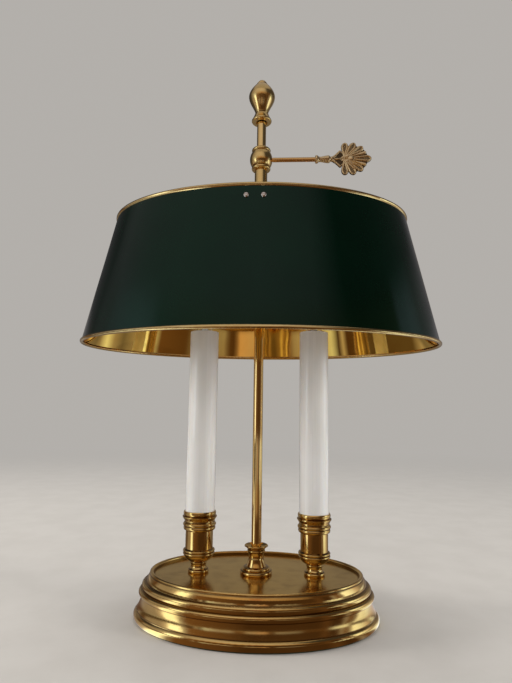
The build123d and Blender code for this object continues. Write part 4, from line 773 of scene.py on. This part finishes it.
# ---------------------------------------------------------------- lamps' insides
STEM_SEGMENTS = 48
COIL_TURNS = 30
COIL_POINTS = 420
COIL_R = 0.42
# The glass stem: radius, height above the bulb's foot (mm).
STEM_PROFILE = (
    (0.0, 1.2), (5.6, 1.2), (5.0, 2.6), (3.4, 5.0), (2.6, 9.0), (2.4, 14.0), (2.7, 18.0),
    (2.2, 20.0), (1.3, 21.4), (0.9, 24.0), (1.3, 26.5), (0.0, 27.2),
)


def tube_along(bm, points, radius, sides=10):
    """A round wire through points (mm), with closed ends."""
    points = [Vector(p) for p in points]
    rings = [[tuple(points[0])]]
    across = None
    for k, point in enumerate(points):
        ahead = (points[min(k + 1, len(points) - 1)] - points[max(k - 1, 0)]).normalized()
        if across is None:
            across = ahead.orthogonal().normalized()
        across = (across - ahead * across.dot(ahead)).normalized()
        up = ahead.cross(across)
        rings.append([
            tuple(point + radius * (across * math.cos(TAU * j / sides) + up * math.sin(TAU * j / sides)))
            for j in range(sides)
        ])
    rings.append([tuple(points[-1])])
    add_rings(bm, rings)


def build_lamp_inside(side, axis_x):
    """Pressed glass stem, two lead wires and a coiled filament on two hooks."""
    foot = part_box(f"{side}_bulb_glass")[0][2] / MM
    bm = bmesh.new()
    add_rings(bm, [turned_ring(r, foot + z, STEM_SEGMENTS, axis_x) for r, z in STEM_PROFILE])
    new_piece(f"{side}_lamp_stem", bm, "stand", ["bulb_glass"])
    bm = bmesh.new()
    for way in (-1, 1):
        tube_along(bm, [
            (axis_x + way * 1.0, 0, foot + 19.0), (axis_x + way * 1.6, 0, foot + 21.5),
            (axis_x + way * 3.6, 0, foot + 26.0), (axis_x + way * 5.2, 0, foot + 31.0),
            (axis_x + way * 5.6, 0, foot + 34.0),
        ], 0.22)
    hook = [(axis_x, 0, foot + 26.8), (axis_x, 0, foot + 31.0), (axis_x + 0.3, 0.2, foot + 35.2)]
    tube_along(bm, hook, 0.14)
    new_piece(f"{side}_lamp_leads", bm, "stand", ["nickel"])
    bm = bmesh.new()
    coil = []
    for k in range(COIL_POINTS + 1):
        share = k / COIL_POINTS
        turn = TAU * COIL_TURNS * share
        x = axis_x - 5.6 + 11.2 * share
        rise = 34.0 + 1.3 * math.sin(math.pi * share)
        coil.append((x, COIL_R * math.cos(turn), foot + rise + COIL_R * math.sin(turn)))
    tube_along(bm, coil, 0.09, 6)
    new_piece(f"{side}_lamp_filament", bm, "stand", ["filament"])


build_lamp_inside("left", -CANDLE_X)
build_lamp_inside("right", CANDLE_X)


# ---------------------------------------------------------------- camera
# Place in mm, angles in radians, and the lens and picture height in pixels.
CAMERA_AT = (25.0, -506.3, 188.8)
PAN = -0.0551
PITCH = 0.1392
ROLL = 0.0136
FOCAL_PX = 509.1
PICTURE_H = 683


def add_camera():
    lens = bpy.data.cameras.new("camera")
    lens.sensor_width = 36.0
    lens.lens = FOCAL_PX / PICTURE_H * lens.sensor_width
    lens.clip_start = 0.01
    camera = bpy.data.objects.new("camera", lens)
    bpy.context.scene.collection.objects.link(camera)
    ahead = Vector((math.sin(PAN) * math.cos(PITCH), math.cos(PAN) * math.cos(PITCH), math.sin(PITCH)))
    right = ahead.cross(Vector((0, 0, 1))).normalized()
    up = right.cross(ahead)
    tilt = Matrix.Rotation(-ROLL, 3, ahead)
    axes = Matrix((tilt @ right, tilt @ up, -ahead)).transposed()
    camera.matrix_world = Matrix.Translation(Vector(CAMERA_AT) * MM) @ axes.to_4x4()
    bpy.context.scene.camera = camera


# ---------------------------------------------------------------- floor, world and lights
# Metres and linear tones.
ROOM_TONE = (0.45, 0.43, 0.405)
AMBIENT_TONE = (0.60, 0.60, 0.60)
FLOOR_R = 3.0
FLOOR_FADE = (0.45, 2.3)
CIRCLE_SEGMENTS = 96
# The mirrored room: radius and height of each ring of its screens, and the table's height.
ROOM_R = 1.1
ROOM_RINGS = ((ROOM_R, 0.0), (ROOM_R, 1.30), (0.80, 1.95), (0.02, 2.20))
TABLE_Z = 0.0004
CEILING = (0.38, 0.36, 0.36)
# Light of the mirrored room for a full tone of a view, as a colour ramp stops at 1.
VIEW_GAIN = 2.0


def seen_rays(tree):
    """1 for rays that show a background: camera, glossy and transmission rays."""
    path = tree.nodes.new("ShaderNodeLightPath")
    total = path.outputs["Is Camera Ray"]
    for kind in ("Is Glossy Ray", "Is Transmission Ray"):
        node = tree.nodes.new("ShaderNodeMath")
        node.operation = "MAXIMUM"
        tree.links.new(total, node.inputs[0])
        tree.links.new(path.outputs[kind], node.inputs[1])
        total = node.outputs[0]
    return total


def pale_floor():
    """Matt pale table top that runs out into the tone of the room."""
    tree = Tree("pale_floor")
    grain = tree.noise(18.0, 4.0)
    tree.base(
        Base_Color=tree.mix(tree.ramp(grain, 0.3, 0.7), (0.56, 0.535, 0.505), (0.53, 0.505, 0.475)),
        Roughness=tree.ramp(grain, 0.3, 0.7, 0.8, 0.95),
        Specular_IOR_Level=0.0,
    )
    x, y, _ = tree.split()
    radius = tree.reach(x, y)
    far = tree.times(tree.ramp(radius, *FLOOR_FADE), seen_rays(tree))
    room = tree.nodes.new("ShaderNodeEmission")
    room.inputs[0].default_value = (*ROOM_TONE, 1)
    blend = tree.nodes.new("ShaderNodeMixShader")
    tree.links.new(far, blend.inputs[0])
    tree.links.new(tree.shader.outputs[0], blend.inputs[1])
    tree.links.new(room.outputs[0], blend.inputs[2])
    tree.links.new(blend.outputs[0], tree.out.inputs[0])
    return tree.material


def round_view(tree, stops):
    """Light by bearing: stops of (degrees from the front towards +X, tone)."""
    x, y, _ = tree.split()
    bearing = tree.math("ARCTAN2", x, tree.times(y, -1.0))
    node = tree.nodes.new("ShaderNodeValToRGB")
    tree.put(node, 0, tree.plus(tree.math("DIVIDE", bearing, TAU), 0.5))
    ramp = node.color_ramp
    for k, (degrees, tone) in enumerate(stops):
        stop = ramp.elements[k] if k < 2 else ramp.elements.new(degrees / 360 + 0.5)
        stop.position = degrees / 360 + 0.5
        stop.color = (*(v / VIEW_GAIN for v in tone), 1)
    return node.outputs[0]


def glow(tree, colour):
    """Finishes a material that only gives light."""
    light = tree.nodes.new("ShaderNodeEmission")
    tree.put(light, 0, colour)
    light.inputs[1].default_value = VIEW_GAIN
    tree.links.new(light.outputs[0], tree.out.inputs[0])
    return tree.material


def day(light):
    """Cool light of a window."""
    return (0.86 * light, light, 1.10 * light)


def plaster(light):
    """Pale wall."""
    return (light, 0.94 * light, 0.97 * light)


def brown(light):
    """Dim wood-brown of the room."""
    return (light, 0.55 * light, 0.28 * light)


# What polished metal mirrors all round, from the near table up to the walls: (bearing, tone).
LOW_VIEW = (
    (-180, (0.27, 0.24, 0.19)), (-125, plaster(0.18)), (-106, brown(0.13)), (-97, plaster(0.36)),
    (-76, plaster(0.40)), (-69, plaster(0.70)), (-65, day(2.2)), (-56, day(2.2)), (-51, plaster(0.42)),
    (-46, brown(0.22)), (-20, brown(0.13)), (-4, brown(0.075)), (44, brown(0.075)), (50, brown(0.13)),
    (57, brown(0.06)), (62, brown(0.09)), (66, plaster(0.36)), (71, brown(0.20)), (77, plaster(0.35)),
    (81, day(1.7)), (93, day(1.3)), (104, plaster(0.75)), (118, plaster(0.30)), (141, plaster(0.18)),
    (180, (0.27, 0.24, 0.19)),
)
MIDDLE_VIEW = (
    (-180, (0.26, 0.21, 0.14)), (-150, plaster(0.06)), (-110, plaster(0.06)), (-92, plaster(0.22)),
    (-64, day(0.80)), (-57, day(0.80)), (-51, plaster(0.42)), (-25, (0.52, 0.39, 0.26)),
    (-5, (0.54, 0.39, 0.26)), (-3, (0.46, 0.26, 0.17)), (4, (0.46, 0.26, 0.17)), (6, (0.52, 0.37, 0.24)),
    (35, (0.32, 0.22, 0.14)), (48, brown(0.10)), (77, brown(0.12)), (81, day(0.45)), (92, day(0.40)),
    (104, plaster(0.16)), (140, plaster(0.12)), (180, (0.26, 0.21, 0.14)),
)
HIGH_VIEW = (
    (-180, plaster(0.24)), (-150, plaster(0.05)), (-108, plaster(0.05)), (-92, plaster(0.26)),
    (-45, plaster(0.55)), (0, plaster(0.60)), (28, plaster(0.45)), (45, plaster(0.06)), (120, plaster(0.06)),
    (150, plaster(0.18)), (180, plaster(0.24)),
)
FAR_TABLE_VIEW = (
    (-180, plaster(0.25)), (-110, plaster(0.20)), (-70, day(1.0)), (-52, plaster(0.60)),
    (-36, (0.34, 0.27, 0.18)), (-20, (0.32, 0.25, 0.16)), (-13, (0.44, 0.35, 0.26)),
    (-1, (0.42, 0.33, 0.24)), (6, (0.26, 0.16, 0.09)),
    (30, (0.24, 0.15, 0.08)), (50, brown(0.10)), (66, plaster(0.32)), (80, day(1.1)), (104, plaster(0.60)),
    (130, plaster(0.20)), (180, plaster(0.25)),
)
FOOT_VIEW = (
    (-180, plaster(0.12)), (-152, plaster(0.14)), (-129, plaster(0.42)), (-112, (0.11, 0.08, 0.05)),
    (-60, (0.10, 0.07, 0.04)), (-53, plaster(0.30)), (-50, brown(0.09)), (-43, brown(0.08)),
    (-41, plaster(0.50)), (-38, brown(0.06)), (-34, day(0.80)), (-26, plaster(0.42)),
    (-16, plaster(0.38)), (-13, brown(0.16)),
    (-8, brown(0.18)), (-5, plaster(0.44)), (7, (0.62, 0.43, 0.32)), (9, brown(0.07)), (12, brown(0.10)),
    (14, plaster(0.32)), (28, plaster(0.24)), (34, brown(0.10)), (52, brown(0.14)), (61, day(1.10)),
    (72, day(1.25)), (77, plaster(0.34)), (92, plaster(0.17)), (106, plaster(0.36)), (119, day(1.00)),
    (134, plaster(0.30)), (180, plaster(0.12)),
)
# Where each view takes over from the one before: on the walls by height, on the table by radius (m).
ROOM_VIEWS = ((0.09, 0.13, LOW_VIEW), (0.47, 0.58, MIDDLE_VIEW), (0.66, 0.88, HIGH_VIEW))
CEILING_START = (1.60, 2.00)
TABLE_VIEWS = ((0.42, 0.54, FAR_TABLE_VIEW), (0.80, 0.95, FOOT_VIEW))
TABLE_GRAIN = (0.03, 0.014, 0.005)


def reflected_room():
    """What polished metal mirrors: a dim brown room in front, windows at both sides."""
    tree = Tree("reflected_room")
    z = tree.split()[2]
    colour = round_view(tree, FOOT_VIEW)
    for low, high, view in ROOM_VIEWS:
        colour = tree.mix(tree.ramp(z, low, high), colour, round_view(tree, view))
    colour = tree.mix(tree.ramp(z, *CEILING_START), colour, tuple(v / VIEW_GAIN for v in CEILING))
    return glow(tree, colour)


def reflected_table():
    """Brown table top in the mirrored room, bright where the windows fall on it."""
    tree = Tree("reflected_table")
    x, y, _ = tree.split()
    radius = tree.reach(x, y)
    grain = tree.ramp(tree.noise(5.0, 4.0, 0.6), 0.3, 0.7)
    colour = round_view(tree, LOW_VIEW)
    for low, high, view in TABLE_VIEWS:
        colour = tree.mix(tree.ramp(radius, low, high), colour, round_view(tree, view))
    return glow(tree, tree.mix(tree.times(grain, 0.25), colour, TABLE_GRAIN))


def add_stage(name, corners, faces, finish):
    """A stage piece from its corners in metres."""
    mesh = bpy.data.meshes.new(name)
    mesh.from_pydata(corners, [], faces)
    mesh.materials.append(finish)
    piece = bpy.data.objects.new(name, mesh)
    bpy.context.scene.collection.objects.link(piece)
    return piece


def circle(radius, z):
    turns = [TAU * k / CIRCLE_SEGMENTS for k in range(CIRCLE_SEGMENTS)]
    return [(radius * math.cos(turn), radius * math.sin(turn), z) for turn in turns]


def add_floor():
    corners = circle(FLOOR_R, 0.0)
    add_stage("floor", corners, [tuple(range(len(corners)))], pale_floor())


def add_reflected_room():
    """Screens all round that only glossy surfaces see."""
    corners = [corner for radius, z in ROOM_RINGS for corner in circle(radius, z)]
    n = CIRCLE_SEGMENTS
    faces = [
        (level * n + k, level * n + (k + 1) % n, (level + 1) * n + (k + 1) % n, (level + 1) * n + k)
        for level in range(len(ROOM_RINGS) - 1)
        for k in range(n)
    ]
    room = add_stage("reflected_room", corners, faces, reflected_room())
    table = add_stage("reflected_table", circle(ROOM_R, TABLE_Z), [tuple(range(n))], reflected_table())
    for screen in (room, table):
        screen.visible_camera = False
        screen.visible_diffuse = False
        screen.visible_transmission = False
        screen.visible_shadow = False


def add_world():
    """Pale room tone behind everything; diffuse light comes from the same pale world."""
    world = bpy.data.worlds.new("studio")
    world.use_nodes = True
    tree = world.node_tree
    tree.nodes.clear()
    out = tree.nodes.new("ShaderNodeOutputWorld")
    seen = tree.nodes.new("ShaderNodeBackground")
    seen.inputs[0].default_value = (*ROOM_TONE, 1)
    ambient = tree.nodes.new("ShaderNodeBackground")
    ambient.inputs[0].default_value = (*AMBIENT_TONE, 1)
    mix = tree.nodes.new("ShaderNodeMixShader")
    tree.links.new(seen_rays(tree), mix.inputs[0])
    tree.links.new(ambient.outputs[0], mix.inputs[1])
    tree.links.new(seen.outputs[0], mix.inputs[2])
    tree.links.new(mix.outputs[0], out.inputs[0])
    bpy.context.scene.world = world


LAMP_TONE = (1.0, 0.97, 0.92)
# Soft lamps: name, place, aim, width, height (m), watts.
SOFTBOXES = (
    ("window_left", (-2.20, -0.25, 0.75), (0, 0, 0.25), 0.60, 1.00, 30.0),
    ("window_right", (2.10, -0.66, 0.70), (0, 0, 0.25), 0.45, 1.00, 20.0),
    ("top_softbox", (-0.2, 0.3, 2.1), (0, 0, 0.2), 1.1, 0.9, 12.0),
)


def add_softbox(name, place, aim, width, height, watts):
    """A soft lamp; polished metal mirrors the bright panels of the screens in its place."""
    light = bpy.data.lights.new(name, "AREA")
    light.shape = "RECTANGLE"
    light.size = width
    light.size_y = height
    light.energy = watts
    light.color = LAMP_TONE
    lamp = bpy.data.objects.new(name, light)
    bpy.context.scene.collection.objects.link(lamp)
    lamp.location = place
    lamp.visible_glossy = False
    lamp.rotation_euler = (Vector(aim) - Vector(place)).to_track_quat("-Z", "Y").to_euler()


add_camera()
add_floor()
add_world()
add_reflected_room()
for box in SOFTBOXES:
    add_softbox(*box)
bpy.context.scene.view_settings.view_transform = "Standard"
